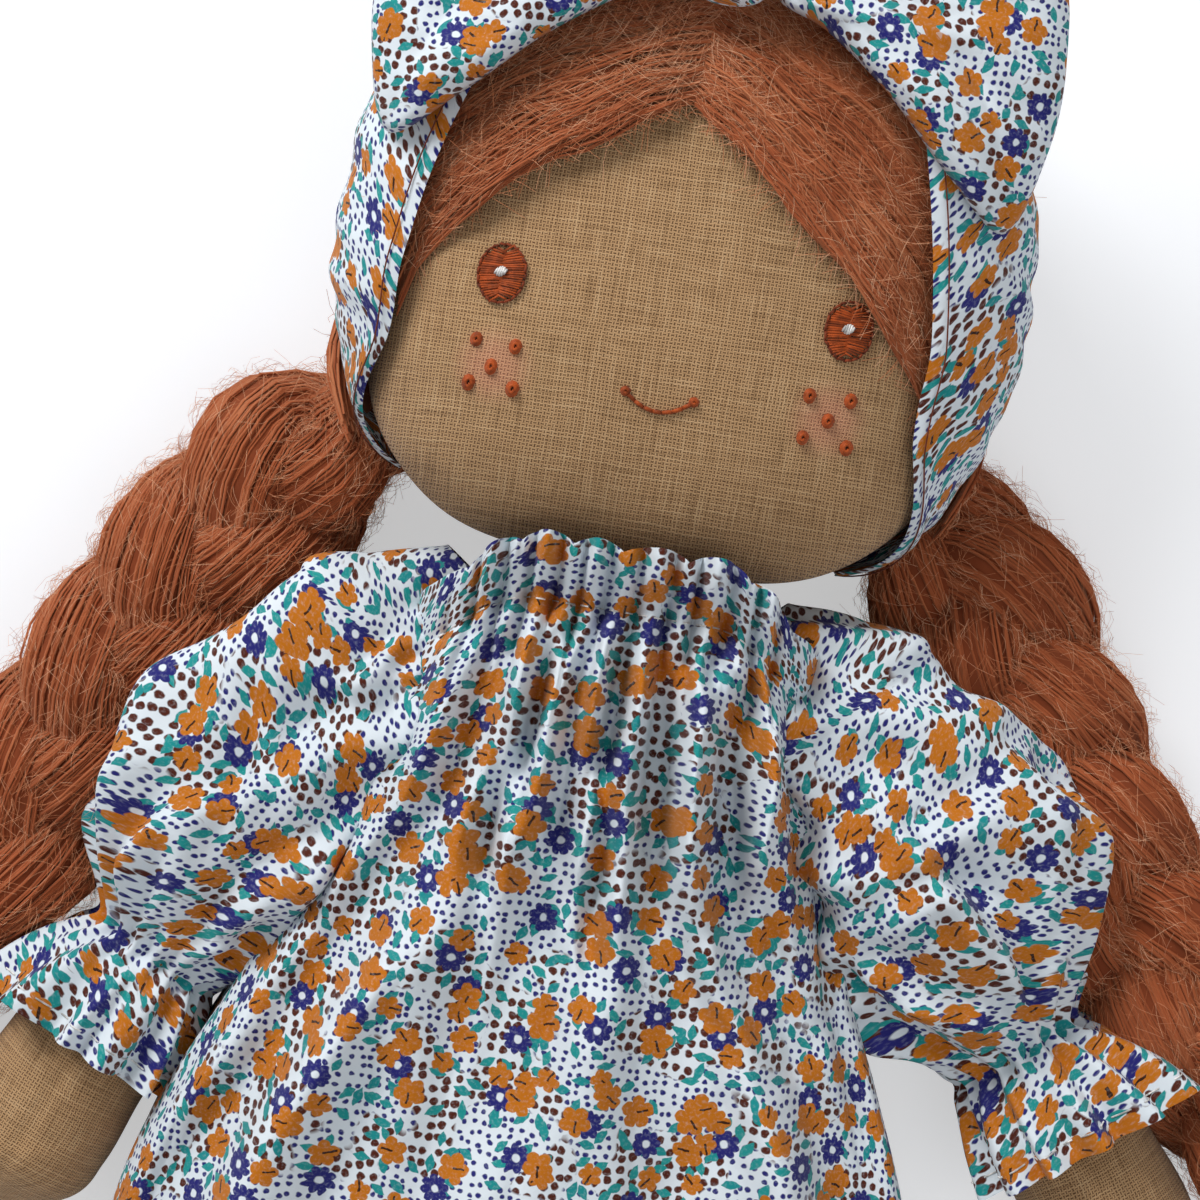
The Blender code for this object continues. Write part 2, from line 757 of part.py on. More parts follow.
def make_torso(neck_pocket):
    """The linen torso, its stuffing, and the pockets that the arms and neck are sewn into."""
    pockets = [neck_pocket]
    for side, word in ((-1, "right"), (1, "left")):
        pocket = ball(
            word + "_shoulder_guide", shoulder(side), shoulder_ball_diameter + 2 * pocket_clearance
        )
        pockets.append(as_cutter(pocket))
    points, faces = closed_loft(*torso_rings(0.0, torso_side_count, torso_ring_count))
    skin = add_piece("torso_linen", points, faces, linen)
    cores = []
    for name, inset in (("space_guide", linen_wall), ("stuffing", linen_wall + 2 * facet_clearance)):
        rings = torso_rings(inset, torso_core_side_count, torso_ring_count, torso_core_share)
        points, faces = closed_loft(*rings)
        cores.append(add_piece("torso_" + name, points, faces, stuffing))
    space, core = as_cutter(cores[0]), cores[1]
    for pocket in list(pockets):
        reach = pocket.data.vertices[0].co.length
        for extra, piece in ((pocket_wall, space), (pocket_wall + clearance, core)):
            grown = as_cutter(
                ball(f"{piece.name}_{pocket.name}", tuple(pocket.location), 2 * (reach + extra))
            )
            cut_by(piece, grown)
    middle = along_body(-(torso_top + torso_bottom) / 2)
    half_length, half_width = turning_gap_length / 2, turning_gap_width / 2
    low = (torso_width / 2 - 2 * overrun, middle - half_length, torso_lift - half_width)
    high = (torso_width / 2 + overrun, middle + half_length, torso_lift + half_width)
    gap = as_cutter(block("torso_gap_guide", low, high))
    cut_by(skin, space, gap, *pockets)


# Arms: share of the length, of the arm's half width, and how high the middle lies in shares of the shoulder
arm_shares = [
    (0.00, 0.72, 1.00),
    (0.10, 0.74, 0.95),
    (0.28, 0.92, 0.88),
    (0.45, 0.88, 0.86),
    (0.56, 0.79, 0.86),
    (0.67, 0.95, 0.86),
    (0.75, 0.99, 0.84),
    (0.86, 1.04, 0.74),
    (0.94, 0.92, 0.73),
    (0.985, 0.55, 0.73),
]
arm_start_angle = {-1: math.radians(37), 1: math.radians(47)}
arm_end_angle = {-1: math.radians(21), 1: math.radians(35)}
arm_lead_angle = math.radians(72)
arm_first_share = 0.10
arm_last_share = 0.985
arm_crowding_share = 1.15


def arm_path(side, distance):
    """Middle and heading of an arm at distances from the shoulder: the heading turns evenly along the arm."""
    distance = np.atleast_1d(np.asarray(distance, float))
    steps = np.linspace(0, 1, path_step_count)
    start, end = arm_start_angle[side], arm_end_angle[side]
    angle = start + (end - start) * smooth_step(steps, 0, 1)
    step = (arm_length + 3 * overrun) / (len(steps) - 1)
    track_x = np.concatenate([[0], np.cumsum(np.sin(angle[:-1]) * step)])
    track_y = np.concatenate([[0], np.cumsum(-np.cos(angle[:-1]) * step)])
    at = np.clip(distance, 0, None) / step
    index = np.arange(len(steps))
    centre = shoulder(side)
    before = np.minimum(distance, 0)
    x = centre[0] + side * (np.interp(at, index, track_x) + before * math.sin(start))
    y = centre[1] + np.interp(at, index, track_y) - before * math.cos(start)
    heading = np.interp(at, index, angle)
    lifts = by_shares(arm_shares, np.clip(distance / arm_length, 0, 1))[:, 1] * shoulder_height
    middle = np.stack([x, y, lifts], axis=-1)
    outward = np.stack([side * np.cos(heading), np.sin(heading), np.zeros_like(heading)], axis=-1)
    return middle, outward


def arm_radius(distance):
    """Half width of the arm at distances from the shoulder."""
    shares = by_shares(arm_shares, np.clip(np.asarray(distance) / arm_length, 0, 1))[:, 0]
    return shares * arm_diameter / 2


def arm_rings(side, inset, side_count, ring_count):
    """Rings of an arm, from the ball at the shoulder to the end of the hand."""
    ball_radius = shoulder_ball_diameter / 2 - inset
    lead_turns = arm_lead_angle * np.array([1, 2, 3]) / 3
    lead = -ball_radius * np.cos(lead_turns)
    lead_radius = ball_radius * np.sin(lead_turns)
    along = np.linspace(arm_first_share, 1, ring_count)
    along = arm_length * (1 - (1 - along) ** arm_crowding_share) * arm_last_share
    distance = np.concatenate([lead, [0.0], along])
    radius = np.concatenate([lead_radius, [ball_radius], arm_radius(along) - inset])
    distance[-1] -= inset
    middle, outward = arm_path(side, distance)
    turns = np.linspace(0, full_turn, side_count, endpoint=False)
    rings = middle[:, None, :] + outward[:, None, :] * (radius[:, None] * np.cos(turns))[..., None]
    rings[..., 2] += radius[:, None] * np.sin(turns)
    start, _ = arm_path(side, -ball_radius)
    end, _ = arm_path(side, arm_length - inset)
    rings[..., 2] = np.maximum(rings[..., 2], inset)
    return rings, start[0], end[0]


def make_arm(side, word):
    """One stuffed linen arm with its mitten hand."""
    pivot = shoulder(side)
    points, faces = closed_loft(*arm_rings(side, 0.0, limb_side_count, limb_ring_count))
    skin = add_piece(word + "_arm_linen", points, faces, linen, pivot)
    points, faces = closed_loft(*arm_rings(side, linen_wall, core_side_count, core_ring_count))
    space = as_cutter(add_piece(word + "_arm_space_guide", points, faces, stuffing))
    points, faces = closed_loft(
        *arm_rings(side, linen_wall + clearance, core_side_count, core_ring_count)
    )
    add_piece(word + "_arm_stuffing", points, faces, stuffing, pivot)
    gap_distance = arm_gap_distance_share * arm_length
    middle, outward = arm_path(side, gap_distance)
    along = np.array([outward[0][1], -outward[0][0], 0.0])
    centre = middle[0] + outward[0] * arm_radius([gap_distance])[0]
    gap = turning_gap_block(word + "_arm_gap_guide", centre, outward[0], along)
    cut_by(skin, space, gap)


def turning_gap_block(name, centre, outward, along):
    """A cutter for the hand-sewn slit that a piece is stuffed through."""
    up = np.array([0, 0, 1.0])
    points = []
    for k in (-1, 1):
        for j in (-1, 1):
            for i in (-1, 1):
                point = centre + outward * i * overrun + along * j * limb_gap_length / 2
                points.append(point + up * k * turning_gap_width / 2)
    faces = [(0, 1, 3, 2), (4, 5, 7, 6), (0, 1, 5, 4), (2, 3, 7, 6), (0, 2, 6, 4), (1, 3, 7, 5)]
    return as_cutter(add_piece(name, points, faces, stuffing))


# Sleeves: distance in shares of the way to the cuff, puff outwards and puff upwards in shares of their sizes
sleeve_shares = [
    (-0.26, 0.10, 0.00),
    (-0.18, 0.45, 0.12),
    (-0.04, 0.84, 0.40),
    (0.20, 1.00, 0.85),
    (0.48, 1.00, 1.00),
    (0.72, 0.72, 0.78),
    (0.88, 0.32, 0.34),
    (1.00, 0.00, 0.00),
    (1.10, 0.22, 0.16),
    (1.28, 0.44, 0.36),
]
sleeve_out_angle = math.radians(34)
sleeve_out_spread = math.radians(30)
sleeve_up_angle = math.radians(88)
sleeve_up_spread = math.radians(46)
sleeve_in_angle = math.radians(145)
sleeve_in_spread = math.radians(40)
sleeve_in_share = 0.5
sleeve_narrowing_share = 0.2
armhole_reach_share = 0.8


def bump(angle, centre, spread):
    """A smooth swelling about one direction."""
    off = (angle - centre + math.pi) % full_turn - math.pi
    return np.exp(-((off / spread) ** 2))


def sleeve_rings(side, lift, distance):
    """Rings of a sleeve about its arm: close under the arm, puffed outwards over the braid and upwards."""
    distance = np.asarray(distance, float)
    middle, outward = arm_path(side, distance)
    turns = np.linspace(0, full_turn, sleeve_side_count, endpoint=False)
    shares = by_shares(sleeve_shares, distance / cuff_distance)
    before = -np.minimum(distance, 0)
    ball_part = np.maximum(shoulder_ball_diameter / 2 - before * sleeve_narrowing_share, 0)
    near = smooth_step(distance, -arm_diameter, 0) * (1 - smooth_step(distance, 0, arm_diameter / 2))
    base = np.maximum(arm_radius(distance), ball_part * near)
    base = base + cuff_elastic_thickness + 2 * facet_clearance
    out = bump(turns, sleeve_out_angle, sleeve_out_spread)
    up = bump(turns, sleeve_up_angle, sleeve_up_spread)
    up = up + sleeve_in_share * bump(turns, sleeve_in_angle, sleeve_in_spread)
    puff = shares[:, :1] * sleeve_puff * out[None, :] + shares[:, 1:] * sleeve_rise * up[None, :]
    radius = base[:, None] + puff + lift
    rings = middle[:, None, :] + outward[:, None, :] * (radius * np.cos(turns))[..., None]
    rings[..., 2] += radius * np.sin(turns)
    floor = cotton_wall - lift
    rings[..., 2] = np.maximum(rings[..., 2], floor)
    return rings


def sleeve_stations():
    """Distances of a sleeve's rings from the shoulder, the last at the edge of its ruffle."""
    first, last = sleeve_shares[0][0], sleeve_shares[-1][0]
    distance = cuff_distance * np.linspace(first, last, sleeve_ring_count)
    distance[-1] = cuff_distance + sleeve_ruffle_length
    return distance


# Dress above the cuffs: share of the way down to them, and of the way from the neckline's half width to the
# half width that the cuffs leave free
yoke_width_shares = [
    (0.00, 0.00),
    (0.11, 0.02),
    (0.27, 0.11),
    (0.50, 0.28),
    (0.74, 0.52),
    (0.88, 0.76),
    (1.00, 1.00),
]

# Dress below the cuffs: share of the way down to the hem, and of the way from there to the hem's half width
skirt_width_shares = [
    (0.00, 0.00),
    (0.20, 0.36),
    (0.55, 0.68),
    (1.00, 1.00),
]
fold_depth_from_share = 0.7
fold_across_share = 0.4
dress_crowding_share = 1.35


def cuff_place():
    """How far below the neckline the lower cuff lies, and the half width that it leaves for the dress."""
    middle, outward = arm_path(-1, cuff_distance)
    reach = arm_radius([cuff_distance])[0] + cuff_elastic_thickness + 2 * facet_clearance + cotton_wall
    room = abs(middle[0][0] - outward[0][0] * reach)
    return along_body(0) - middle[0][1], room - cuff_room - fold_across_share * fold_depth


def dress_half_width(height):
    """Half width of the dress at heights from the neckline: close at the yoke, wide below the sleeves."""
    depth, free_half = cuff_place()
    down = -np.asarray(height, float)
    yoke = by_shares(yoke_width_shares, down / depth)[:, 0]
    skirt = by_shares(skirt_width_shares, (down - depth) / (dress_length - depth))[:, 0]
    half = neckline_width / 2 + (free_half - neckline_width / 2) * yoke
    return half + (hem_width / 2 - free_half) * skirt


def dress_arch(height, lift, side_count):
    """One arch of the dress front, from its right edge over the body to its left edge, with its folds."""
    height = np.asarray(height, float)
    across = np.linspace(0, 1, side_count)
    angle = math.pi * (1 - across)
    down = np.clip(-height / dress_length, 0, 1)
    half = dress_half_width(height)[:, None] + lift
    top = chest_height + (hem_height - chest_height) * down
    top = top + ruffle_lean * smooth_step(height, -elastic_below_neckline, ruffle_height)
    base = cotton_wall + clearance
    depth = gather_depth + (fold_depth - gather_depth) * smooth_step(down, 0, fold_depth_from_share)
    fold = depth[:, None] * np.cos(full_turn * dress_fold_count * across)[None, :] * np.sin(angle)
    x = (half + fold * fold_across_share) * rounded(np.cos(angle), arch_power_share)
    rise = (top - base)[:, None] + lift + fold - fold_depth / 2
    z = base + rise * rounded(np.sin(angle), arch_power_share)
    y = np.repeat(along_body(height)[:, None], side_count, axis=1)
    return np.stack([x, y, z], axis=-1)


def dress_heights(count):
    """Heights of the dress's rings, closer together at the gathered neckline."""
    share = np.linspace(0, 1, count) ** dress_crowding_share
    return ruffle_height - (dress_length + ruffle_height) * share


def make_back_panel(heights):
    """The flat back of the dress, which the doll lies on."""
    half = dress_half_width(heights)
    left_edge = [(x, along_body(h)) for x, h in zip(half, heights)]
    outline = left_edge + [(-x, y) for x, y in reversed(left_edge)]
    size = len(outline)
    points = [(x, y, z) for z in (0, cotton_wall) for x, y in outline]
    faces = [tuple(range(size)), tuple(range(2 * size - 1, size - 1, -1))]
    faces += [(i, (i + 1) % size, (i + 1) % size + size, i + size) for i in range(size)]
    add_piece("dress_back_panel", points, faces, print_cotton)


def make_front_panel(heights):
    """The folded front of the dress, and the guide solid of the space under it that the sleeves end at."""
    top = dress_arch(heights, 0.0, dress_side_count)
    bottom = dress_arch(heights, -cotton_wall, dress_side_count)
    bottom[..., 2] = np.maximum(bottom[..., 2], cotton_wall + clearance)
    points, faces = sheet_solid(top, bottom)
    front = add_piece("dress_front_panel", points, faces, print_cotton)

    outer = dress_arch(heights, facet_clearance, dress_side_count)
    outer[0, :, 1] += overrun
    below = outer[:, ::-1, :].copy()
    below = below[:, :: dress_side_count - 1, :]
    below[..., 2] = -overrun
    rings = np.concatenate([outer, below], axis=1)
    points, faces = closed_loft(rings, rings[0].mean(axis=0), rings[-1].mean(axis=0))
    return front, as_cutter(add_piece("dress_space_guide", points, faces, print_cotton))


def hoop_rings(loops):
    """Turns four loops round a hoop into rings of its square section."""
    return ring_solid(np.array(loops).transpose(1, 0, 2))


hoop_corners = ((-1, 0), (1, 0), (1, 1), (-1, 1))


def make_sleeve(side, word, front, dress_space):
    """One puffed sleeve with its ruffle, the armhole that it is set into, and the elastic at its cuff."""
    pivot = shoulder(side)
    distance = sleeve_stations()
    inner = sleeve_rings(side, 0.0, distance)
    outer = sleeve_rings(side, cotton_wall, distance)
    points, faces = tube_shell(outer, inner)
    sleeve = add_piece(word + "_sleeve", points, faces, print_cotton, pivot)
    cut_by(sleeve, dress_space)
    hole = sleeve_rings(side, -clearance, distance[distance < armhole_reach_share * cuff_distance])
    hole[..., 2] = np.where(hole[..., 2] < 2 * cotton_wall, 0.0, hole[..., 2])
    points, faces = closed_loft(hole, hole[0].mean(axis=0), hole[-1].mean(axis=0))
    cut_by(front, as_cutter(add_piece(word + "_armhole_guide", points, faces, print_cotton)))

    turns = np.linspace(0, full_turn, hoop_side_count // 2, endpoint=False)
    loops = []
    for j, k in hoop_corners:
        at, outward = arm_path(side, cuff_distance + j * cuff_elastic_width / 2)
        radius = arm_radius([cuff_distance])[0] + facet_clearance + k * cuff_elastic_thickness
        loop = at[0] + np.outer(radius * np.cos(turns), outward[0])
        loop[:, 2] += radius * np.sin(turns)
        loops.append(loop)
    add_piece(word + "_cuff_elastic", *hoop_rings(loops), rubber, pivot)


def make_neckline_elastic():
    """The elastic that gathers the neckline."""
    turns = np.linspace(0, full_turn, hoop_side_count, endpoint=False)
    low = cotton_wall + clearance
    high = chest_height - cotton_wall - gather_depth - fold_depth - clearance - facet_clearance
    half = neckline_width / 2 - cotton_wall - gather_depth - 2 * facet_clearance
    loops = []
    for j, k in hoop_corners:
        inset = k * elastic_thickness
        x = (half - inset) * rounded(np.cos(turns), elastic_power_share)
        z = (low + high) / 2 + ((high - low) / 2 - inset) * rounded(np.sin(turns), elastic_power_share)
        y = np.full_like(x, along_body(-elastic_below_neckline + j * elastic_width / 2))
        loops.append(np.stack([x, y, z], axis=-1))
    add_piece("neckline_elastic", *hoop_rings(loops), rubber)


def make_dress():
    """The dress: a flat back panel on the floor, a folded front panel, puffed sleeves and their elastics."""
    heights = dress_heights(dress_ring_count)
    make_back_panel(heights)
    front, dress_space = make_front_panel(heights)
    for side, word in ((-1, "right"), (1, "left")):
        make_sleeve(side, word, front, dress_space)
    make_neckline_elastic()


# Legs: share of the length, half width and half thickness in shares of the leg's half width
leg_shares = [
    (0.00, 1.00, 0.075),
    (0.04, 1.00, 0.36),
    (0.12, 1.00, 0.84),
    (0.30, 1.00, 0.98),
    (0.60, 0.90, 0.90),
    (0.85, 0.80, 0.80),
    (1.00, 0.80, 0.80),
]
leg_splay_angle = math.radians(4)
foot_turn_angle = math.radians(78)
foot_swell_share = 0.12
leg_top_ring_shares = (0.012, 0.03, 0.055, 0.09, 0.14)
leg_low_ring_shares = (0.24, 0.34, 0.44, 0.54, 0.62, 0.70)
leg_end_ring_share = 0.992
leg_core_ring_shares = (0.07, 0.11, 0.16, 0.24, 0.42)
leg_core_low_share = 0.68
leg_core_end_share = 0.97


def leg_top(side):
    """World place of the top of a leg, under the seam that it is sewn to."""
    return (side * hip_spacing / 2, sit_axis[1] - seam_diameter / 2 - clearance, hip_height)


def hip(side):
    """World place that a leg spreads about: the centre of its rounded top."""
    top = leg_top(side)
    radius = leg_diameter / 2
    away, down = radius * math.sin(leg_splay_angle), radius * math.cos(leg_splay_angle)
    return (top[0] + side * away, top[1] - down, top[2])


def leg_frame(side, distance):
    """Middle, heading and front direction of a leg: straight down, then up into the foot on an arc."""
    distance = np.atleast_1d(np.asarray(distance, float))
    bend = np.clip((distance - leg_length) / foot_bend_radius, 0, foot_turn_angle)
    past = np.maximum(distance - leg_length - foot_turn_angle * foot_bend_radius, 0)
    forward = np.minimum(distance, leg_length) + foot_bend_radius * np.sin(bend)
    forward = forward + past * math.cos(foot_turn_angle)
    ankle_drop = (hip_height - ankle_height()) * smooth_step(distance, 0, leg_length)
    rise = foot_bend_radius * (1 - np.cos(bend)) + past * math.sin(foot_turn_angle) - ankle_drop
    sine, cosine = math.sin(leg_splay_angle), math.cos(leg_splay_angle)
    base = leg_top(side)
    middle = np.stack([base[0] + side * forward * sine, base[1] - forward * cosine, base[2] + rise], axis=-1)
    front = np.stack([-side * np.sin(bend) * sine, np.sin(bend) * cosine, np.cos(bend)], axis=-1)
    across = np.array([side * cosine, sine, 0.0])
    return middle, across, front


whole_leg_length = leg_length + foot_turn_angle * foot_bend_radius + foot_length


def ankle_height():
    """The ankle's middle lies so that the heel's shoe rests on the floor."""
    return leg_diameter / 2 * leg_shares[-1][1] + facet_clearance - rest_flat_depth


def leg_rings(side, inset, side_count, distance):
    """Rings of a leg at distances from its top; the foot widens towards the toes."""
    distance = np.asarray(distance, float)
    sizes = by_shares(leg_shares, np.clip(distance / leg_length, 0, 1)) * leg_diameter / 2
    toe = np.clip((whole_leg_length - distance) / (leg_diameter / 2), 0, 1)
    round_end = np.sqrt(np.clip(1 - (1 - toe) ** 2, 0, 1))
    top = np.clip(distance / (leg_diameter / 2), 0, 1)
    round_top = np.sqrt(np.clip(1 - (1 - top) ** 2, 0, 1))
    swell = 1 + foot_swell_share * smooth_step(distance, leg_length, whole_leg_length)
    half_width = np.maximum(sizes[:, 0] * swell * round_end * round_top - inset, least_half_size)
    half_thick = np.maximum(sizes[:, 1] * round_end - inset, least_half_size)
    middle, across, front = leg_frame(side, distance)
    turns = np.linspace(0, full_turn, side_count, endpoint=False)
    rings = middle[:, None, :] + across[None, None, :] * (half_width[:, None] * np.cos(turns))[..., None]
    return rings + front[:, None, :] * (half_thick[:, None] * np.sin(turns))[..., None]


def make_leg(side, word):
    """One stuffed linen leg with its upturned foot."""
    pivot = hip(side)
    whole = whole_leg_length
    foot_shares = np.linspace(leg_low_ring_shares[-1], 1, 9)[1:-1]
    share = np.array([*leg_top_ring_shares, *leg_low_ring_shares, *foot_shares, leg_end_ring_share])
    start, _, _ = leg_frame(side, 0.0)
    end, _, _ = leg_frame(side, whole)
    rings = leg_rings(side, 0.0, limb_side_count, whole * share)
    points, faces = closed_loft(rings, start[0], end[0])
    skin = add_piece(word + "_leg_linen", points, faces, linen, pivot)
    share = np.array([*leg_core_ring_shares, *np.linspace(leg_core_low_share, leg_core_end_share, 6)])
    cores = []
    for name, extra in (("space_guide", 0.0), ("stuffing", facet_clearance)):
        at = whole * share
        at[0] += extra
        at[-1] -= extra
        rings = leg_rings(side, linen_wall + extra, core_side_count, at)
        points, faces = closed_loft(rings, rings[0].mean(axis=0), rings[-1].mean(axis=0))
        cores.append(add_piece(f"{word}_leg_{name}", points, faces, stuffing, pivot))
    space = as_cutter(cores[0])
    middle, across, _ = leg_frame(side, leg_length / 2)
    size = by_shares(leg_shares, 1 / 2)[0, 0] * leg_diameter / 2
    along = np.array([across[1], -across[0], 0])
    gap = turning_gap_block(word + "_leg_gap_guide", middle[0] + across * size, across, along)
    cut_by(skin, space, gap)


def make_shoe(side, word):
    """The soft shoe on the upturned foot, open at the ankle."""
    distance = np.linspace(whole_leg_length - shoe_reach, whole_leg_length, 9)
    distance[-1] = whole_leg_length - least_half_size
    inner = leg_rings(side, -facet_clearance, limb_side_count, distance)
    outer = leg_rings(side, -facet_clearance - shoe_wall, limb_side_count, distance)
    _, across, front = leg_frame(side, whole_leg_length)
    heading = np.cross(across, front[0]) * side
    heading = heading if heading[2] > 0 else -heading
    toe = heading * facet_clearance * 2
    inner[-1] += toe
    outer[-1] += toe + heading * shoe_wall
    outer[..., 2] = np.maximum(outer[..., 2], 0)
    points, faces = cup_shell(outer, inner, outer[-1].mean(axis=0) + toe / 2, inner[-1].mean(axis=0))
    add_piece(word + "_shoe", points, faces, felt, hip(side))


def make_hip_seam():
    """The round piped seam at the torso's lower edge, which both legs are sewn to and fold about."""
    turns = np.linspace(0, full_turn, limb_side_count, endpoint=False)
    rings = []
    for x in (-seam_width / 2, seam_width / 2):
        y = sit_axis[1] + seam_diameter / 2 * np.cos(turns)
        z = sit_axis[2] + seam_diameter / 2 * np.sin(turns)
        rings.append(np.stack([np.full_like(y, x), y, z], axis=-1))
    ends = [rings[0].mean(axis=0), rings[1].mean(axis=0)]
    return add_piece("hip_seam", *closed_loft(np.array(rings), *ends), linen, sit_axis)


# Braids: the path's points as shares of the doll's braid length, out from the root and down the body
right_braid_path_shares = [
    (0.00, 0.00),
    (0.05, -0.05),
    (0.11, -0.14),
    (0.16, -0.24),
    (0.21, -0.34),
    (0.27, -0.45),
    (0.34, -0.57),
    (0.43, -0.70),
    (0.53, -0.84),
    (0.64, -0.98),
    (0.76, -1.12),
]
left_braid_path_shares = [
    (0.00, 0.00),
    (0.04, -0.05),
    (0.10, -0.14),
    (0.16, -0.23),
    (0.23, -0.33),
    (0.34, -0.45),
    (0.46, -0.56),
    (0.58, -0.68),
    (0.71, -0.81),
    (0.86, -0.93),
]
braid_grown_share = 1.2
braid_thins_from_share = 0.55
braid_thinning_share = 0.45
braid_pinch_share = 0.07
braid_lean_share = 0.06

# The tie and the tassel: share of the length, then of the width and of the thickness
tie_shares = [(0.0, 0.86), (0.3, 1.0), (0.7, 1.0), (1.0, 0.86)]
tassel_shares = [
    (0.0, 0.60, 0.48),
    (0.2, 0.72, 0.50),
    (0.5, 0.92, 0.48),
    (0.8, 1.00, 0.40),
    (1.0, 0.90, 0.24),
]


def braid_root(side):
    """World place that a braid swings about."""
    return (side * braid_root_offset, along_body(braid_root_height), braid_root_diameter / 2 + clearance)


def braid_track(side, distance):
    """Middle and outward direction of a braid at distances from its root."""
    points = np.array(left_braid_path_shares if side > 0 else right_braid_path_shares) * braid_length
    chord = np.concatenate([[0], np.cumsum(np.hypot(*np.diff(points, axis=0).T))])
    table = np.column_stack([chord, points])
    distance = np.atleast_1d(np.asarray(distance, float))
    place = by_shares(table, distance)
    step = clearance
    ahead = by_shares(table, np.minimum(distance + step, chord[-1]))
    behind = by_shares(table, np.maximum(distance - step, 0))
    heading = ahead - behind
    heading /= np.hypot(heading[:, 0], heading[:, 1])[:, None]
    root = braid_root(side)
    middle = np.stack([root[0] + side * place[:, 0], root[1] + place[:, 1], np.zeros(len(place))], axis=-1)
    outward = np.stack([-side * heading[:, 1], heading[:, 0], np.zeros(len(place))], axis=-1)
    along = np.stack([side * heading[:, 0], heading[:, 1], np.zeros(len(place))], axis=-1)
    return middle, outward, along


def braid_rings(side, distance):
    """Rings of a braid: a round root, then three strands' bulges that lean left and right in turn."""
    distance = np.asarray(distance, float)
    middle, outward, _ = braid_track(side, distance)
    phase = full_turn * distance / braid_pitch
    grown = smooth_step(distance, 0, braid_grown_share * braid_root_diameter)
    thinned = smooth_step(distance, braid_thins_from_share * braid_length, braid_length)
    thin = 1 - braid_thinning_share * thinned
    wide = braid_width / 2 * thin * (1 - braid_pinch_share * (1 - np.cos(2 * phase)))
    root_part = braid_root_diameter / 2
    half_width = root_part + (wide - root_part) * grown
    half_thick = root_part + (braid_thickness / 2 * thin - root_part) * grown
    lean = braid_lean_share * braid_width * np.sin(phase) * grown * thin
    turns = np.linspace(0, full_turn, braid_side_count, endpoint=False)
    offset = lean[:, None] + half_width[:, None] * np.cos(turns)
    rings = middle[:, None, :] + outward[:, None, :] * offset[..., None]
    rings[..., 2] = half_thick[:, None] * (1 + np.sin(turns)) + clearance
    rings[..., 2] = np.maximum(rings[..., 2] - clearance - rest_flat_depth, 0)
    return rings


def make_braid(side, word):
    """One braid with its round root, kept clear of the sleeve beside it."""
    root = braid_root(side)
    _, outward, along = braid_track(side, 0.0)
    radius = braid_root_diameter / 2
    angles = np.linspace(0, quarter, 5)[1:-1]
    turns = np.linspace(0, full_turn, braid_side_count, endpoint=False)
    lead = []
    centre = np.array([root[0], root[1], radius - rest_flat_depth])
    for angle in angles:
        ring = centre - along[0] * radius * math.cos(angle)
        ring = ring + np.outer(radius * math.sin(angle) * np.cos(turns), outward[0])
        ring[:, 2] += radius * math.sin(angle) * np.sin(turns)
        ring[:, 2] = np.maximum(ring[:, 2], 0)
        lead.append(ring)
    distance = np.linspace(0, braid_length, braid_ring_count)
    body = braid_rings(side, distance)
    rings = np.concatenate([np.array(lead), body])
    points, faces = closed_loft(rings, centre - along[0] * radius, rings[-1].mean(axis=0))
    braid = add_piece(word + "_braid", points, faces, yarn, root)
    over = sleeve_rings(side, cotton_wall + hair_clearance, sleeve_stations())
    over[..., 2] = np.where(over[..., 2] < 2 * cotton_wall, -overrun, over[..., 2])
    points, faces = closed_loft(over, over[0].mean(axis=0), over[-1].mean(axis=0))
    cut_by(braid, as_cutter(add_piece(word + "_braid_room_guide", points, faces, yarn)))


def make_braid_end(side, word):
    """The printed tie near the end of a braid and the loose tassel of yarn past it."""
    root = braid_root(side)
    middle, outward, along = braid_track(side, braid_length)
    radius = tie_diameter / 2
    turns = np.linspace(0, full_turn, tie_side_count, endpoint=False)
    rings = []
    for share, size_share in tie_shares:
        ring = middle[0] + along[0] * (clearance + share * tie_width)
        ring = ring + np.outer(radius * size_share * np.cos(turns), outward[0])
        ring[:, 2] = radius + radius * size_share * np.sin(turns)
        rings.append(ring)
    ends = [rings[0].mean(axis=0), rings[-1].mean(axis=0)]
    add_piece(word + "_braid_tie", *closed_loft(np.array(rings), *ends), print_cotton, root)
    rings = []
    for share, wide_share, thick_share in tassel_shares:
        ring = middle[0] + along[0] * (2 * clearance + tie_width + share * tassel_length)
        ring = ring + np.outer(tassel_width / 2 * wide_share * np.cos(turns), outward[0])
        ring[:, 2] = radius * thick_share * (1 + np.sin(turns))
        rings.append(ring)
    ends = [rings[0].mean(axis=0), rings[-1].mean(axis=0)]
    add_piece(word + "_tassel", *closed_loft(np.array(rings), *ends), yarn, root)


def main():
    """Clears the scene and makes every piece."""
    for old in list(bpy.data.objects):
        bpy.data.objects.remove(old, do_unlink=True)
    neck_pocket = make_head()
    make_neck()
    make_face()
    make_hair()
    make_headband()
    make_bow()
    make_torso(neck_pocket)
    for side, word in ((-1, "right"), (1, "left")):
        make_arm(side, word)
        make_leg(side, word)
        make_shoe(side, word)
        make_braid(side, word)
        make_braid_end(side, word)
    make_dress()
    make_hip_seam()


main()
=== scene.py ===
"""The look of a sewn linen rag doll with plaited yarn hair and a printed cotton smock, lying on its back.

Laid out as a Blender add-on and run as a script. +Z is the doll's front, +Y points to its head and +X is its left.
Lengths are in metres. Places on the doll come from the frame's boxes and joints.
"""

import json
import math

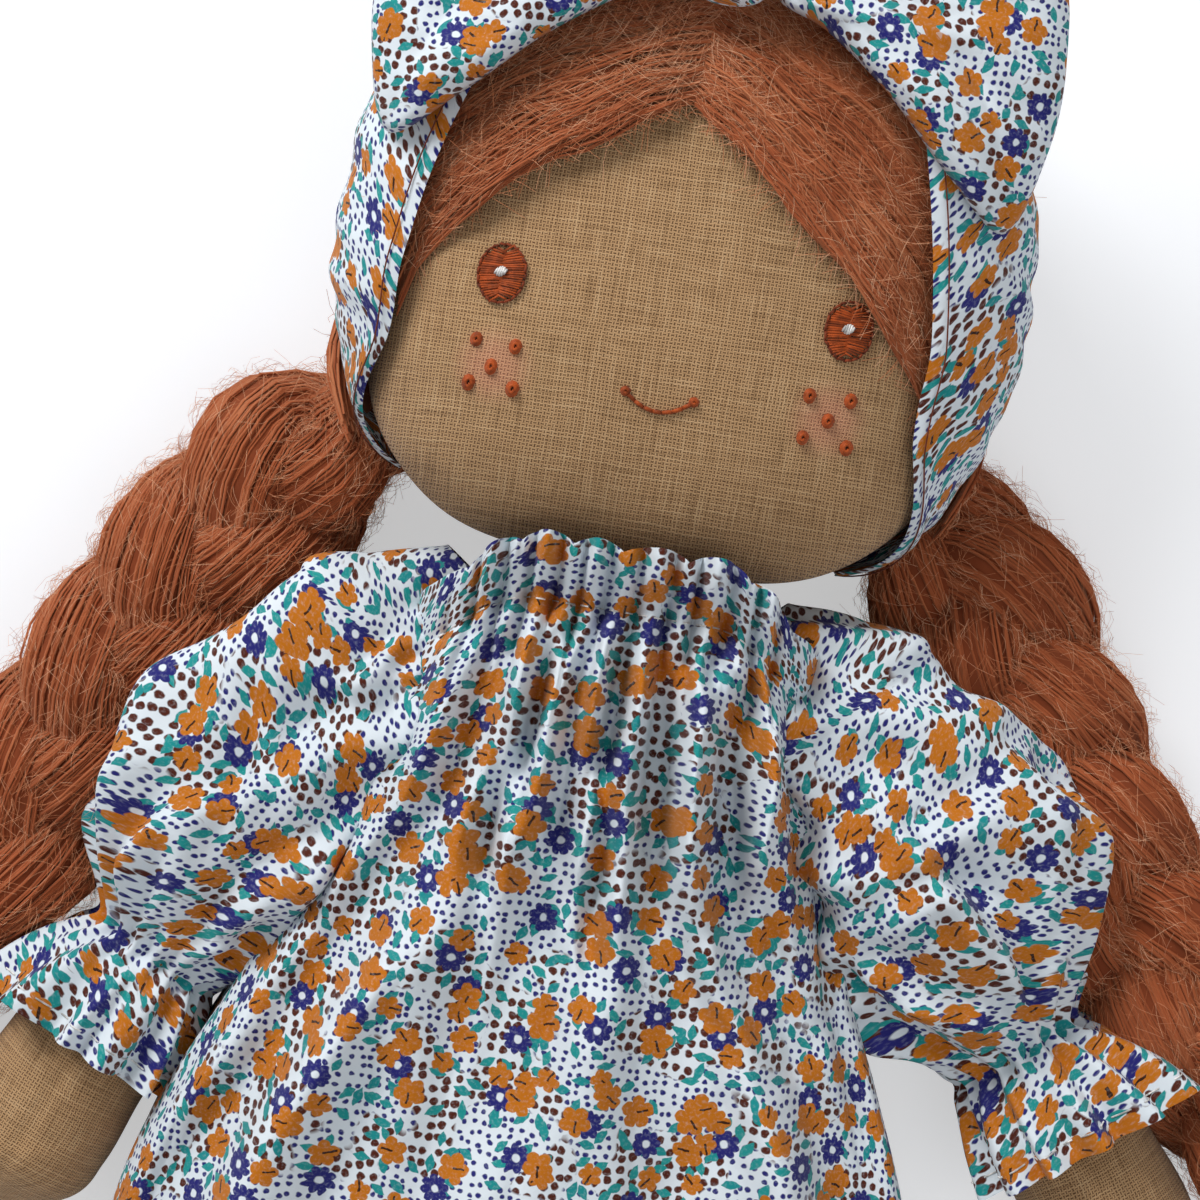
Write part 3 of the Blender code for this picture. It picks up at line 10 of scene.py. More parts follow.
import bpy
import numpy as np
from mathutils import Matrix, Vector


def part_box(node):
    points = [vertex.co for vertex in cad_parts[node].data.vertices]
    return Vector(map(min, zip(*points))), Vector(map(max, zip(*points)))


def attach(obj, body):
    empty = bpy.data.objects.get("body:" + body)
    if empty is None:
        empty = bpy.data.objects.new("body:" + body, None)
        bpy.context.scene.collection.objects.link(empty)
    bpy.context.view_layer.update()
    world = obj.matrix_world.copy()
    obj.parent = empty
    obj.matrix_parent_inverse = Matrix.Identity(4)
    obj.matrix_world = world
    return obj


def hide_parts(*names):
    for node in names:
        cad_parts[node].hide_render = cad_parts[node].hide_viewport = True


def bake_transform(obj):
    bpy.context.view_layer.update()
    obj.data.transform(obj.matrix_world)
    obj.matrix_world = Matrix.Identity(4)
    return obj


bl_info = {
    "name": "Rag doll",
    "version": (1, 0, 0),
    "blender": (4, 5, 0),
    "location": "3D Viewport > Sidebar > Rag doll",
    "description": "Builds the cloth, yarn and stitches of a sewn rag doll around its CAD frame",
    "category": "Add Mesh",
}

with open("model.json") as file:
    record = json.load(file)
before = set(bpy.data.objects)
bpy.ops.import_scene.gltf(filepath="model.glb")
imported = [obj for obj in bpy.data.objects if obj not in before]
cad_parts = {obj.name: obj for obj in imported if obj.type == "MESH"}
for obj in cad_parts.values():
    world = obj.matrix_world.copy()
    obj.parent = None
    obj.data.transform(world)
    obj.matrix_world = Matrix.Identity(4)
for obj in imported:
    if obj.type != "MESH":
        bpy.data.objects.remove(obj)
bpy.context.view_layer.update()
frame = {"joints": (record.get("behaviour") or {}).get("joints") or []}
quarter = math.pi / 2
full_turn = 2 * math.pi
sides = ((-1, "right"), (1, "left"))


def box_of(node):
    """Centre and half sizes of a CAD node, as arrays."""
    low, high = (np.array(corner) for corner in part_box(node))
    return (low + high) / 2, (high - low) / 2


def joint_place(name):
    """Where a joint of the frame turns."""
    return np.array(next(joint["pos_m"] for joint in frame["joints"] if joint["name"] == name))


head_centre, head_half = box_of("head_linen")
neckline = 0.060
dress_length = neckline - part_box("dress_front_panel")[0][1]


# Small mathematics


def smooth_step(values, low, high):
    """Climbs from 0 at low to 1 at high with level ends."""
    t = np.clip((np.asarray(values, float) - low) / (high - low), 0, 1)
    return t * t * (3 - 2 * t)


def rounded(value, power):
    """Sine or cosine bent to a superellipse of that power."""
    return np.sign(value) * np.abs(value) ** (2 / power)


def read_table(table, at):
    """Reads every column of a table at places of its first column, on a smooth cubic through its rows."""
    table = np.array(table, float)
    at = np.clip(np.atleast_1d(at), table[0, 0], table[-1, 0])
    index = np.clip(np.searchsorted(table[:, 0], at) - 1, 0, len(table) - 2)
    span = table[index + 1, 0] - table[index, 0]
    t = ((at - table[index, 0]) / span)[..., None]
    slopes = np.gradient(table[:, 1:], table[:, 0], axis=0)
    low, high = table[index, 1:], table[index + 1, 1:]
    low_slope, high_slope = slopes[index] * span[..., None], slopes[index + 1] * span[..., None]
    smooth = (2 * t**3 - 3 * t**2 + 1) * low + (t**3 - 2 * t**2 + t) * low_slope
    return smooth + (3 * t**2 - 2 * t**3) * high + (t**3 - t**2) * high_slope


def drift(values, seed, count=4):
    """A smooth wandering line of size about 1: a few sines of unrelated pitch, the same each run."""
    picker = np.random.default_rng(seed)
    total = np.zeros_like(np.asarray(values, float))
    for step in range(1, count + 1):
        pitch = step * picker.uniform(0.7, 1.3)
        total = total + np.sin(full_turn * (pitch * values + picker.uniform())) / math.sqrt(step)
    return total / math.sqrt(count)


def creases(u, v, seed, count, area, length, width, height, slant, spread):
    """Soft creases scattered on cloth: each is a ridge beside a hollow, along a short and slightly bent line.

    u and v are places on the flat cloth; area is the patch that the middles of the creases are drawn from.
    """
    picker = np.random.default_rng(seed)
    total = np.zeros(np.broadcast(u, v).shape)
    for _ in range(count):
        off_u = u - picker.uniform(area[0], area[1])
        off_v = v - picker.uniform(area[2], area[3])
        angle = slant + picker.normal(0, spread)
        reach, wide = length * picker.uniform(0.5, 1.3), width * picker.uniform(0.7, 1.4)
        along = off_u * math.cos(angle) + off_v * math.sin(angle)
        across = off_v * math.cos(angle) - off_u * math.sin(angle)
        across = (across + picker.normal(0, 0.25) * along**2 / reach) / wide
        shape = np.exp(-(across**2)) - 0.7 * np.exp(-((across - 1.5) ** 2))
        total += height * picker.uniform(0.4, 1) * np.exp(-((along / reach) ** 2)) * shape
    return total


def swelling(angle, centre, spread):
    """A smooth swelling about one direction, given in degrees."""
    off = (angle - math.radians(centre) + math.pi) % full_turn - math.pi
    return np.exp(-((off / math.radians(spread)) ** 2))


def unit(vectors):
    """The vectors at length 1."""
    return vectors / np.maximum(np.linalg.norm(vectors, axis=-1, keepdims=True), 1e-12)


def closed_curve(points, count):
    """A smooth closed curve through the points: a cubic between each pair, level with its neighbours' chord."""
    points = np.array(points, float)
    at = np.linspace(0, len(points), count, endpoint=False)
    index = at.astype(int)
    t = (at - index)[:, None]
    before, here, after, later = (points[(index + k) % len(points)] for k in (-1, 0, 1, 2))
    cubic = 3 * here - before - 3 * after + later
    square = 2 * before - 5 * here + 4 * after - later
    return here + 0.5 * t * (after - before + t * (square + t * cubic))


# Meshes


def grid_quads(rows, columns, wrap=False):
    """Corner numbers of a grid's quads, joined round its columns where wrap is set."""
    across = np.arange(columns if wrap else columns - 1)
    row = np.arange(rows - 1)[:, None] * columns
    a, b = row + across, row + (across + 1) % columns
    return np.stack([a, b, b + columns, a + columns], axis=-1).reshape(-1, 4)


def make_mesh(name, points, quads, triangles=None, uv=None, values=None):
    """One mesh object from whole arrays; uv holds a pair per corner and values a number per point."""
    mesh = bpy.data.meshes.new(name)
    points = np.asarray(points, np.float32).reshape(-1, 3)
    triangles = np.zeros((0, 3), int) if triangles is None else np.asarray(triangles)
    corners = np.concatenate([np.asarray(quads).ravel(), triangles.ravel()]).astype(np.int32)
    starts = np.concatenate([4 * np.arange(len(quads)), 4 * len(quads) + 3 * np.arange(len(triangles))])
    mesh.vertices.add(len(points))
    mesh.vertices.foreach_set("co", points.ravel())
    mesh.loops.add(len(corners))
    mesh.loops.foreach_set("vertex_index", corners)
    mesh.polygons.add(len(starts))
    mesh.polygons.foreach_set("loop_start", starts.astype(np.int32))
    mesh.update(calc_edges=True)
    if uv is not None:
        mesh.uv_layers.new(name="cloth").data.foreach_set("uv", np.asarray(uv, np.float32).ravel())
    for key, column in (values or {}).items():
        layer = mesh.attributes.new(key, "FLOAT", "POINT")
        layer.data.foreach_set("value", np.asarray(column, np.float32).ravel())
    mesh.shade_smooth()
    piece = bpy.data.objects.new(name, mesh)
    bpy.context.scene.collection.objects.link(piece)
    return piece


def make_surface(name, points, uv, wrap=False, capped=False):
    """A grid of points as one skin; capped closes both ends of a wrapped grid with a fan."""
    rows, columns = points.shape[:2]
    corner_uv = np.stack([uv[:-1, :-1], uv[:-1, 1:], uv[1:, 1:], uv[1:, :-1]], axis=2).reshape(-1, 2)
    flat = points.reshape(-1, 3)
    triangles = None
    if capped:
        around = np.arange(columns)
        ends = []
        for row, pole in ((0, rows * columns), (rows - 1, rows * columns + 1)):
            ring = row * columns + around
            pair = [np.roll(ring, -1), ring] if row == 0 else [ring, np.roll(ring, -1)]
            ends.append(np.stack([*pair, np.full(columns, pole)], axis=-1))
        triangles = np.concatenate(ends)
        flat = np.concatenate([flat, points[0].mean(0)[None], points[-1].mean(0)[None]])
        end_uv = [np.repeat(uv[row, :columns, None], 3, axis=1).reshape(-1, 2) for row in (0, -1)]
        corner_uv = np.concatenate([corner_uv, *end_uv])
    return make_mesh(name, flat, grid_quads(rows, columns, wrap), triangles, corner_uv)


def cloth_uv(points, wrap=False, shift=0.0):
    """Flat places of a grid on its cloth, so that a print keeps its size: lengths across it and down its middle."""
    closed = np.concatenate([points, points[:, :1]], axis=1) if wrap else points
    across = np.linalg.norm(np.diff(closed, axis=1), axis=-1)
    u = np.concatenate([np.zeros((len(points), 1)), np.cumsum(across, axis=1)], axis=1)
    u = u - u[:, closed.shape[1] // 2, None] + shift
    down = np.linalg.norm(np.diff(points[:, points.shape[1] // 2], axis=0), axis=-1)
    v = np.concatenate([[0], np.cumsum(down)])
    return np.stack([u, np.broadcast_to(v[:, None], u.shape)], axis=-1)


def strand_points(paths, radius, side_count):
    """Thin tubes along many paths at once, or flat ribbons with 2 sides: each ring stands square to its path."""
    count, steps = paths.shape[:2]
    along = unit(np.gradient(paths, axis=1))
    across = unit(np.cross(along, np.array([0.13, 0.21, 0.97])))
    above = np.cross(across, along)
    angle = np.arange(side_count) / side_count * full_turn
    radius = np.broadcast_to(np.asarray(radius, float), (count, steps))[..., None, None]
    ring = np.cos(angle)[:, None] * across[:, :, None] + np.sin(angle)[:, None] * above[:, :, None]
    points = paths[:, :, None] + radius * ring
    first_points = np.arange(count) * steps * side_count
    quads = grid_quads(steps, side_count, side_count > 2)[None] + first_points[:, None, None]
    return points.reshape(-1, 3), quads.reshape(-1, 4)


def make_strands(name, groups, side_count=3):
    """Several groups of strands in one mesh: paths, radius and, where it isn't random, a shade for each path."""
    points, quads, shades, first = [], [], [], 0
    picker = np.random.default_rng(len(name))
    for paths, radius, *shade in groups:
        part, part_quads = strand_points(paths, radius, side_count)
        points.append(part)
        quads.append(part_quads + first)
        first += len(part)
        shade = shade[0] if shade else picker.random(len(paths))
        shades.append(np.repeat(shade, paths.shape[1] * side_count))
    values = {"shade": np.concatenate(shades)}
    return make_mesh(name, np.concatenate(points), np.concatenate(quads), values=values)


def loose_fibres(picker, roots, along, out, length, rise, steps=4):
    """Short loose fibres on yarn: each leaves its root along the yarn, lifts off in an arch and curls to a side."""
    count = len(roots)
    t = np.linspace(0, 1, steps)[None, :, None]
    aside = np.cross(along, out)
    size = length * picker.uniform(0.4, 1.2, (count, 1, 1))
    turn = picker.normal(0, 0.4, (count, 1, 1)) + math.pi * picker.integers(0, 2, (count, 1, 1))
    way = along[:, None] * np.cos(turn) + aside[:, None] * np.sin(turn)
    curl = picker.normal(0, 0.5, (count, 1, 1)) * size * t**2
    lift = rise * picker.uniform(0.1, 1, (count, 1, 1)) * np.sin(math.pi * 0.75 * t)
    return roots[:, None] + way * size * t + aside[:, None] * curl + out[:, None] * lift


def running_stitches(line, normal, on=5, off=2):
    """A row of machine stitches along a line of points: on points of thread, then off points inside the cloth."""
    whole = len(line) // (on + off)
    parts = line[: whole * (on + off)].reshape(whole, on + off, 3)[:, :on]
    lifts = normal[: whole * (on + off)].reshape(whole, on + off, 3)[:, :on]
    rise = np.sin(np.linspace(0.25, math.pi - 0.25, on))[None, :, None]
    return parts + lifts * 0.00025 * rise


# Materials


def linear(hex_colour):
    """A colour typed as sRGB hex, in the linear values that the renderer takes."""
    parts = [int(hex_colour[i : i + 2], 16) / 255 for i in (0, 2, 4)]
    return (*[p / 12.92 if p <= 0.04045 else ((p + 0.055) / 1.055) ** 2.4 for p in parts], 1.0)


def add_node(tree, kind, inputs=None, **settings):
    """One shader node: settings are its properties, inputs its socket values or the sockets that feed them."""
    node = tree.nodes.new("ShaderNode" + kind)
    for key, value in settings.items():
        setattr(node, key, value)
    for key, value in (inputs or {}).items():
        if isinstance(value, bpy.types.NodeSocket):
            tree.links.new(value, node.inputs[key])
        else:
            node.inputs[key].default_value = value
    return node


def maths(tree, operation, *values):
    """The result of one sum."""
    return add_node(tree, "Math", dict(enumerate(values)), operation=operation).outputs[0]


def vector_maths(tree, operation, first, second):
    """The result of one sum on vectors; a scale takes a number as its second value."""
    inputs = {0: first, ("Scale" if operation == "SCALE" else 1): second}
    node = add_node(tree, "VectorMath", inputs, operation=operation)
    return node.outputs["Value" if operation == "DISTANCE" else 0]


def between(tree, value, low, high):
    """0 at low, 1 at high and smooth between them."""
    inputs = {"Value": value, "From Min": low, "From Max": high}
    return add_node(tree, "MapRange", inputs, interpolation_type="SMOOTHSTEP").outputs["Result"]


def noise(tree, place, scale, detail=2.0):
    """A cloudy pattern about 0.5."""
    return add_node(tree, "TexNoise", {"Vector": place, "Scale": scale, "Detail": detail}).outputs["Fac"]


def mixed(tree, factor, a, b):
    """Colour a, turning to b with the factor."""
    return add_node(tree, "Mix", {0: factor, 6: a, 7: b}, data_type="RGBA").outputs[2]


def new_material(name, roughness, sheen=0.0):
    """A material with its node tree and its shader."""
    material = bpy.data.materials.new(name)
    material.use_nodes = True
    shader = material.node_tree.nodes["Principled BSDF"]
    shader.inputs["Roughness"].default_value = roughness
    shader.inputs["Specular IOR Level"].default_value = 0.2
    shader.inputs["Sheen Weight"].default_value = sheen
    shader.inputs["Sheen Roughness"].default_value = 0.5
    return material, material.node_tree, shader


def put_bump(tree, shader, height, distance, strength):
    """Feeds the shader's normal from a height."""
    bump = add_node(tree, "Bump", {"Height": height, "Distance": distance, "Strength": strength})
    tree.links.new(bump.outputs["Normal"], shader.inputs["Normal"])


def cloth_place(tree):
    """The flat cloth's coordinates, in millimetres."""
    return vector_maths(tree, "SCALE", add_node(tree, "UVMap", uv_map="cloth").outputs["UV"], 1000.0)


def motif_place(tree, place, cell, shift, randomness=0.9):
    """For the nearest motif: the way to its middle in mm, turned by a random angle, and its random numbers."""
    moved = vector_maths(tree, "ADD", place, (shift, shift * 0.7, 0))
    inputs = {"Vector": moved, "Scale": 1.0 / cell, "Randomness": randomness}
    cells = add_node(tree, "TexVoronoi", inputs, voronoi_dimensions="2D", feature="F1")
    offset = vector_maths(tree, "SUBTRACT", moved, cells.outputs["Position"])
    numbers = add_node(tree, "SeparateColor", {0: cells.outputs["Color"]}).outputs
    inputs = {"Vector": offset, "Angle": maths(tree, "MULTIPLY", numbers[2], full_turn)}
    turned = add_node(tree, "VectorRotate", inputs, rotation_type="Z_AXIS").outputs[0]
    x, y, _ = add_node(tree, "SeparateXYZ", {0: turned}).outputs
    return x, y, numbers


def flower(tree, x, y, radius, petals, depth):
    """1 inside a flower with round petals and sharp notches, and the distance from its middle."""
    away = maths(tree, "SQRT", maths(tree, "MULTIPLY_ADD", x, x, maths(tree, "MULTIPLY", y, y)))
    turn = maths(tree, "MULTIPLY", maths(tree, "ARCTAN2", y, x), petals / 2)
    petal = maths(tree, "POWER", maths(tree, "ABSOLUTE", maths(tree, "COSINE", turn)), 0.7)
    rim = maths(tree, "MULTIPLY", maths(tree, "MULTIPLY_ADD", petal, depth, 1.0 - depth), radius)
    return between(tree, maths(tree, "SUBTRACT", rim, away), -0.12, 0.12), away


def print_material(cotton):
    """Fine cotton lawn, screen printed all over with small flowers, leaves and dots on a pale blue ground.

    The print gives the doll most of its colour. Each layer scatters one motif, sized in millimetres.
    """
    material, tree, shader = new_material("printed_cotton_lawn", 0.85, 0.08)
    place = cloth_place(tree)
    inputs = {"Vector": place, "Scale": 0.7, "Detail": 1.0}
    wobble = add_node(tree, "TexNoise", inputs, noise_dimensions="2D").outputs["Color"]
    edge = vector_maths(tree, "ADD", place, vector_maths(tree, "SCALE", wobble, 0.5))
    field = add_node(tree, "TexNoise", {"Vector": place, "Scale": 0.075, "Detail": 1.0}, noise_dimensions="2D")
    ground = tuple(cotton.ground_colour)
    navy, brown = tuple(cotton.navy_colour), tuple(cotton.brown_colour)
    colour = ground
    for cell, radius, shift, ink, low, high in (
        (1.75, 0.48, 0.0, navy, 0.46, 0.49), (2.2, 0.78, 31.0, brown, 0.49, 0.46),
    ):
        x, y, _ = motif_place(tree, edge, cell, shift, 0.5)
        mask, _ = flower(tree, x, y, radius, 3, 0.10)
        inside = between(tree, field.outputs["Fac"], min(low, high), max(low, high))
        if low > high:
            inside = maths(tree, "SUBTRACT", 1.0, inside)
        colour = mixed(tree, maths(tree, "MULTIPLY", mask, inside), colour, ink)
    for shift in (57.0, 83.0):
        x, y, numbers = motif_place(tree, edge, 5.0, shift, 1.0)
        half = maths(tree, "MULTIPLY_ADD", numbers[0], 0.7, 1.35)
        narrowing = maths(tree, "POWER", maths(tree, "ABSOLUTE", maths(tree, "DIVIDE", x, half)), 1.7)
        rim = maths(tree, "MULTIPLY", maths(tree, "SUBTRACT", 1.0, narrowing), 0.80)
        mask = between(tree, maths(tree, "SUBTRACT", rim, maths(tree, "ABSOLUTE", y)), -0.10, 0.10)
        leaf = mixed(tree, numbers[1], tuple(cotton.leaf_colour), linear("147F86"))
        kept = maths(tree, "LESS_THAN", numbers[1], 0.62)
        colour = mixed(tree, maths(tree, "MULTIPLY", mask, kept), colour, leaf)
    x, y, numbers = motif_place(tree, edge, 14.0, 140.0)
    mask, away = flower(tree, x, y, 2.7, 8, 0.30)
    colour = mixed(tree, mask, colour, navy)
    colour = mixed(tree, between(tree, away, 0.85, 0.55), colour, ground)
    for cell, shift, kept_share in ((10.0, 211.0, 0.88), (12.0, 307.0, 0.55)):
        x, y, numbers = motif_place(tree, edge, cell, shift, 0.95)
        radius = maths(tree, "MULTIPLY_ADD", numbers[0], 1.2, 2.0)
        mask, _ = flower(tree, x, y, radius, 5, 0.34)
        kept = maths(tree, "LESS_THAN", numbers[1], kept_share)
        colour = mixed(tree, maths(tree, "MULTIPLY", mask, kept), colour, tuple(cotton.flower_colour))
        stroke = maths(tree, "MULTIPLY", maths(tree, "COMPARE", x, 1.0, 1.1), maths(tree, "COMPARE", y, 0.0, 0.2))
        colour = mixed(tree, maths(tree, "MULTIPLY", stroke, kept), colour, linear("3A1C08"))
    fade = between(tree, noise(tree, place, 1.6, 3.0), 0.45, 1.0)
    colour = mixed(tree, maths(tree, "MULTIPLY", fade, 0.36), colour, ground)
    tree.links.new(colour, shader.inputs["Base Color"])
    put_bump(tree, shader, noise(tree, place, 0.12, 5.0), 0.0012, 0.55)
    return material


def linen_material(name, linen, on_face):
    """Plain-woven tan linen: warp and weft threads go over each other in turn, with thick slubs along both ways.

    The weave tells the doll's size; the slubs and the blush on the face keep it from looking flat.
    """
    material, tree, shader = new_material(name, 0.9, 0.15)
    if on_face:
        place = vector_maths(tree, "SCALE", add_node(tree, "TexCoord").outputs["Object"], 1000.0)
    else:
        place = cloth_place(tree)
    sway = add_node(tree, "TexNoise", {"Vector": place, "Scale": 0.07, "Detail": 4.0}).outputs["Color"]
    place = vector_maths(tree, "ADD", place, vector_maths(tree, "SCALE", sway, 1.6))
    x, y, _ = add_node(tree, "SeparateXYZ", {0: place}).outputs
    turn_x = maths(tree, "MULTIPLY", x, math.pi / (linen.thread_pitch * 1000))
    turn_y = maths(tree, "MULTIPLY", y, math.pi / (linen.thread_pitch * 1000))
    over = maths(tree, "MULTIPLY", maths(tree, "COSINE", turn_x), maths(tree, "COSINE", turn_y))
    row_slub = noise(tree, vector_maths(tree, "MULTIPLY", place, (0.09, 1.5, 0.0)), 1.0, 1.0)
    column_slub = noise(tree, vector_maths(tree, "MULTIPLY", place, (1.5, 0.09, 0.0)), 1.0, 1.0)
    warp = maths(tree, "MULTIPLY_ADD", over, 0.42, maths(tree, "ABSOLUTE", maths(tree, "SINE", turn_x)))
    warp = maths(tree, "MULTIPLY_ADD", column_slub, 0.5, maths(tree, "SUBTRACT", warp, 0.25))
    weft = maths(tree, "MULTIPLY_ADD", over, -0.42, maths(tree, "ABSOLUTE", maths(tree, "SINE", turn_y)))
    weft = maths(tree, "MULTIPLY_ADD", row_slub, 0.5, maths(tree, "SUBTRACT", weft, 0.25))
    height = maths(tree, "MAXIMUM", warp, weft)
    colour = tuple(linen.thread_colour)
    for slub, low, high, share, tone in (
        (row_slub, 0.52, 0.75, 0.55, "CDAA80"), (column_slub, 0.52, 0.75, 0.55, "CDAA80"),
        (row_slub, 0.42, 0.25, 0.4, "94724C"), (column_slub, 0.42, 0.25, 0.4, "94724C"),
    ):
        factor = maths(tree, "MULTIPLY", between(tree, slub, low, high), share)
        colour = mixed(tree, factor, colour, linear(tone))
    # Painted shade: the weave's low places, between the threads, turn dark brown.
    colour = mixed(tree, between(tree, height, 0.42, 1.12), linear("5E3F24"), colour)
    if on_face:
        flat = vector_maths(tree, "MULTIPLY", place, (1, 1, 0))
        for side, _ in sides:
            cheek_x, cheek_y = side * linen.freckle_distance * 1000, (neckline + linen.freckle_height) * 1000
            away = vector_maths(tree, "DISTANCE", flat, (cheek_x + 1.0, cheek_y + 1.0, 0.0))
            blush = maths(tree, "MULTIPLY", between(tree, away, 8.5, 2.0), 0.34)
            colour = mixed(tree, blush, colour, tuple(linen.blush_colour))
    tree.links.new(colour, shader.inputs["Base Color"])
    put_bump(tree, shader, height, 0.00022, 0.9)
    return material


def yarn_material(name, dark, middle, light):
    """Brushed wool yarn: every strand has its own shade between a dark and a light of the same dye.

    The mix of rust and copper strands is what makes the hair read as wool.
    """
    material, tree, shader = new_material(name, 0.9, 0.55)
    shade = add_node(tree, "Attribute", attribute_name="shade").outputs["Fac"]
    place = add_node(tree, "TexCoord").outputs["Object"]
    patch = noise(tree, place, 70.0)
    level = maths(tree, "MULTIPLY_ADD", patch, 0.6, maths(tree, "MULTIPLY", shade, 0.65))
    colour = mixed(tree, between(tree, level, 0.20, 0.62), dark, middle)
    colour = mixed(tree, between(tree, level, 0.60, 1.00), colour, light)
    tree.links.new(colour, shader.inputs["Base Color"])
    shader.inputs["Sheen Tint"].default_value = linear("F0B48C")
    return material


def plain_material(name, colour, roughness, sheen=0.1, grain=0.0):
    """Dyed fibre with a fine grain of lighter and darker specks, for thread, elastic and felt.

    Each stitch has a shade of its own as well, so that neighbouring stitches stay apart.
    """
    material, tree, shader = new_material(name, roughness, sheen)
    height = noise(tree, add_node(tree, "TexCoord").outputs["Object"], 900.0, 3.0)
    shade = add_node(tree, "Attribute", attribute_name="shade").outputs["Fac"]
    darker = tuple(np.array(colour) * np.array([0.45, 0.45, 0.45, 1]))
    level = maths(tree, "MULTIPLY_ADD", shade, -0.35, height)
    mix = mixed(tree, between(tree, level, 0.1, 0.55), darker, tuple(colour))
    tree.links.new(mix, shader.inputs["Base Color"])
    if grain:
        put_bump(tree, shader, height, grain, 0.8)
    return material


def material_called(name):
    """One of the doll's materials, made when it is first asked for."""
    scene = bpy.context.scene
    cotton, linen, yarn = scene.rag_doll_cotton, scene.rag_doll_linen, scene.rag_doll_yarn
    yarn_colours = tuple(yarn.dark_colour), tuple(yarn.middle_colour), tuple(yarn.light_colour)
    # Painted shade: the beds under the strands and the cap of hair take tones darker than the yarn, for the shade
    # under and between the strands.
    bed_shade_colours = linear("7A381C"), linear("9C4E2C"), linear("B06039")
    # Painted light: the loose fibres take tones lighter than the yarn, for the glow of light through thin fibres.
    fibre_glow_colours = linear("A25834"), linear("C47C54"), linear("E4B28E")
    makers = {
        "printed_cotton_lawn": lambda: print_material(cotton),
        "plain_woven_face_linen": lambda: linen_material("plain_woven_face_linen", linen, True),
        "plain_woven_limb_linen": lambda: linen_material("plain_woven_limb_linen", linen, False),
        "brushed_wool_yarn": lambda: yarn_material("brushed_wool_yarn", *yarn_colours),
        "packed_wool_yarn": lambda: yarn_material("packed_wool_yarn", *bed_shade_colours),
        "loose_wool_fibre": lambda: yarn_material("loose_wool_fibre", *fibre_glow_colours),
        "rust_embroidery_thread": lambda: plain_material("rust_embroidery_thread", linen.thread_rust, 0.55),
        "dark_embroidery_thread": lambda: plain_material("dark_embroidery_thread", linear("8A3A18"), 0.55),
        "white_cotton_thread": lambda: plain_material("white_cotton_thread", linear("FBF8F4"), 0.6),
        "woven_elastic": lambda: plain_material("woven_elastic", linear("E8E6E0"), 0.7),
        "pressed_wool_felt": lambda: plain_material("pressed_wool_felt", linen.shoe_colour, 0.95, 0.5, 0.0006),
    }
    return bpy.data.materials.get(name) or makers[name]()


def finish_piece(piece, material, body, replaced=()):
    """Gives a piece its material and slot, hides the CAD parts it stands for, and lets it move with a body."""
    piece.data.materials.append(material_called(material))
    if replaced:
        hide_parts(*replaced)
    if body:
        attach(piece, body)
    return piece


# Head shape: a stuffed disc with a rounded profile, widest across the cheeks
crown_power, chin_power, profile_power = 2.3, 3.0, 2.4


def head_rim(turn):
    """Plan radius of the head's outline, for half sizes of 1, in a direction counted from +X."""
    power = np.where(np.sin(turn) < 0, chin_power, crown_power)
    return (np.abs(np.cos(turn)) ** power + np.abs(np.sin(turn)) ** power) ** (-1 / power)


def head_point(turn, tip, lift):
    """A place on the head: turn runs round its outline, tip from the face to the back, lift off the linen."""
    turn, tip, lift = np.broadcast_arrays(turn, tip, lift)
    share = rounded(np.sin(tip), profile_power) * head_rim(turn)
    x = (head_half[0] + lift) * share * np.cos(turn)
    y = head_centre[1] + (head_half[1] + lift) * share * np.sin(turn)
    z = head_centre[2] + (head_half[2] + lift) * rounded(np.cos(tip), profile_power)
    return np.stack([x, y, z], axis=-1)


def rim_share(x, y, lift=0.0):
    """How far out a place lies on the head's plan: 0 in the middle, 1 on the outline."""
    across = np.abs(x) / (head_half[0] + lift)
    up = (y - head_centre[1]) / (head_half[1] + lift)
    power = np.where(up < 0, chin_power, crown_power)
    return (across**power + np.abs(up) ** power) ** (1 / power)


def face_height(x, y, lift=0.0, least=0.0):
    """World z of the head's front at a place."""
    depth = np.clip(1 - rim_share(x, y, lift) ** profile_power, least, 1)
    return head_centre[2] + (head_half[2] + lift) * depth ** (1 / profile_power)


def hair_lift(height):
    """Thickness of the hair on the head by the height above the neckline: thin at the jaw, full at the crown."""
    return 0.001 + 0.003 * smooth_step(height, 0.018, 0.046)


# Settings


def length_setting(name, description, default):
    """A setting in metres."""
    return bpy.props.FloatProperty(
        name=name, description=description, default=default, unit="LENGTH", subtype="DISTANCE", precision=4
    )


def colour_setting(name, description, default):
    """A colour setting; its default is a hex colour."""
    return bpy.props.FloatVectorProperty(
        name=name, description=description, default=linear(default), subtype="COLOR", size=4, min=0.0, max=1.0
    )


def count_setting(name, description, default, least):
    """A setting in whole numbers."""
    return bpy.props.IntProperty(name=name, description=description, default=default, min=least)


class RagDollLinen(bpy.types.PropertyGroup):
    """Sizes and colours of the linen body, its stitched face and its shoes."""

    thread_pitch: length_setting("Thread pitch", "Distance between neighbouring threads of the linen", 0.00066)
    eye_distance: length_setting("Eye distance", "From the middle of the face to each eye", 0.0313)
    eye_height: length_setting("Eye height", "From the neckline up to the eyes", 0.0464)
    eye_width: length_setting("Eye width", "Width of a stitched eye", 0.0085)
    eye_tall: length_setting("Eye length", "Height of a stitched eye", 0.0104)
    mouth_width: length_setting("Mouth width", "Distance between the mouth's end knots", 0.0123)
    mouth_height: length_setting("Mouth height", "From the neckline up to the mouth's ends", 0.0293)
    freckle_distance: length_setting("Cheek distance", "From the middle of the face to each cheek", 0.0302)
    freckle_height: length_setting("Cheek height", "From the neckline up to the freckles", 0.0300)
    thread_colour: colour_setting("Linen", "Colour of the linen threads", "BE976C")
    blush_colour: colour_setting("Blush", "Colour of the rubbed-in blush", "D98A74")
    thread_rust: colour_setting("Embroidery", "Colour of the eyes and freckles", "B4501C")
    shoe_colour: colour_setting("Shoes", "Colour of the felt shoes", "6B4630")


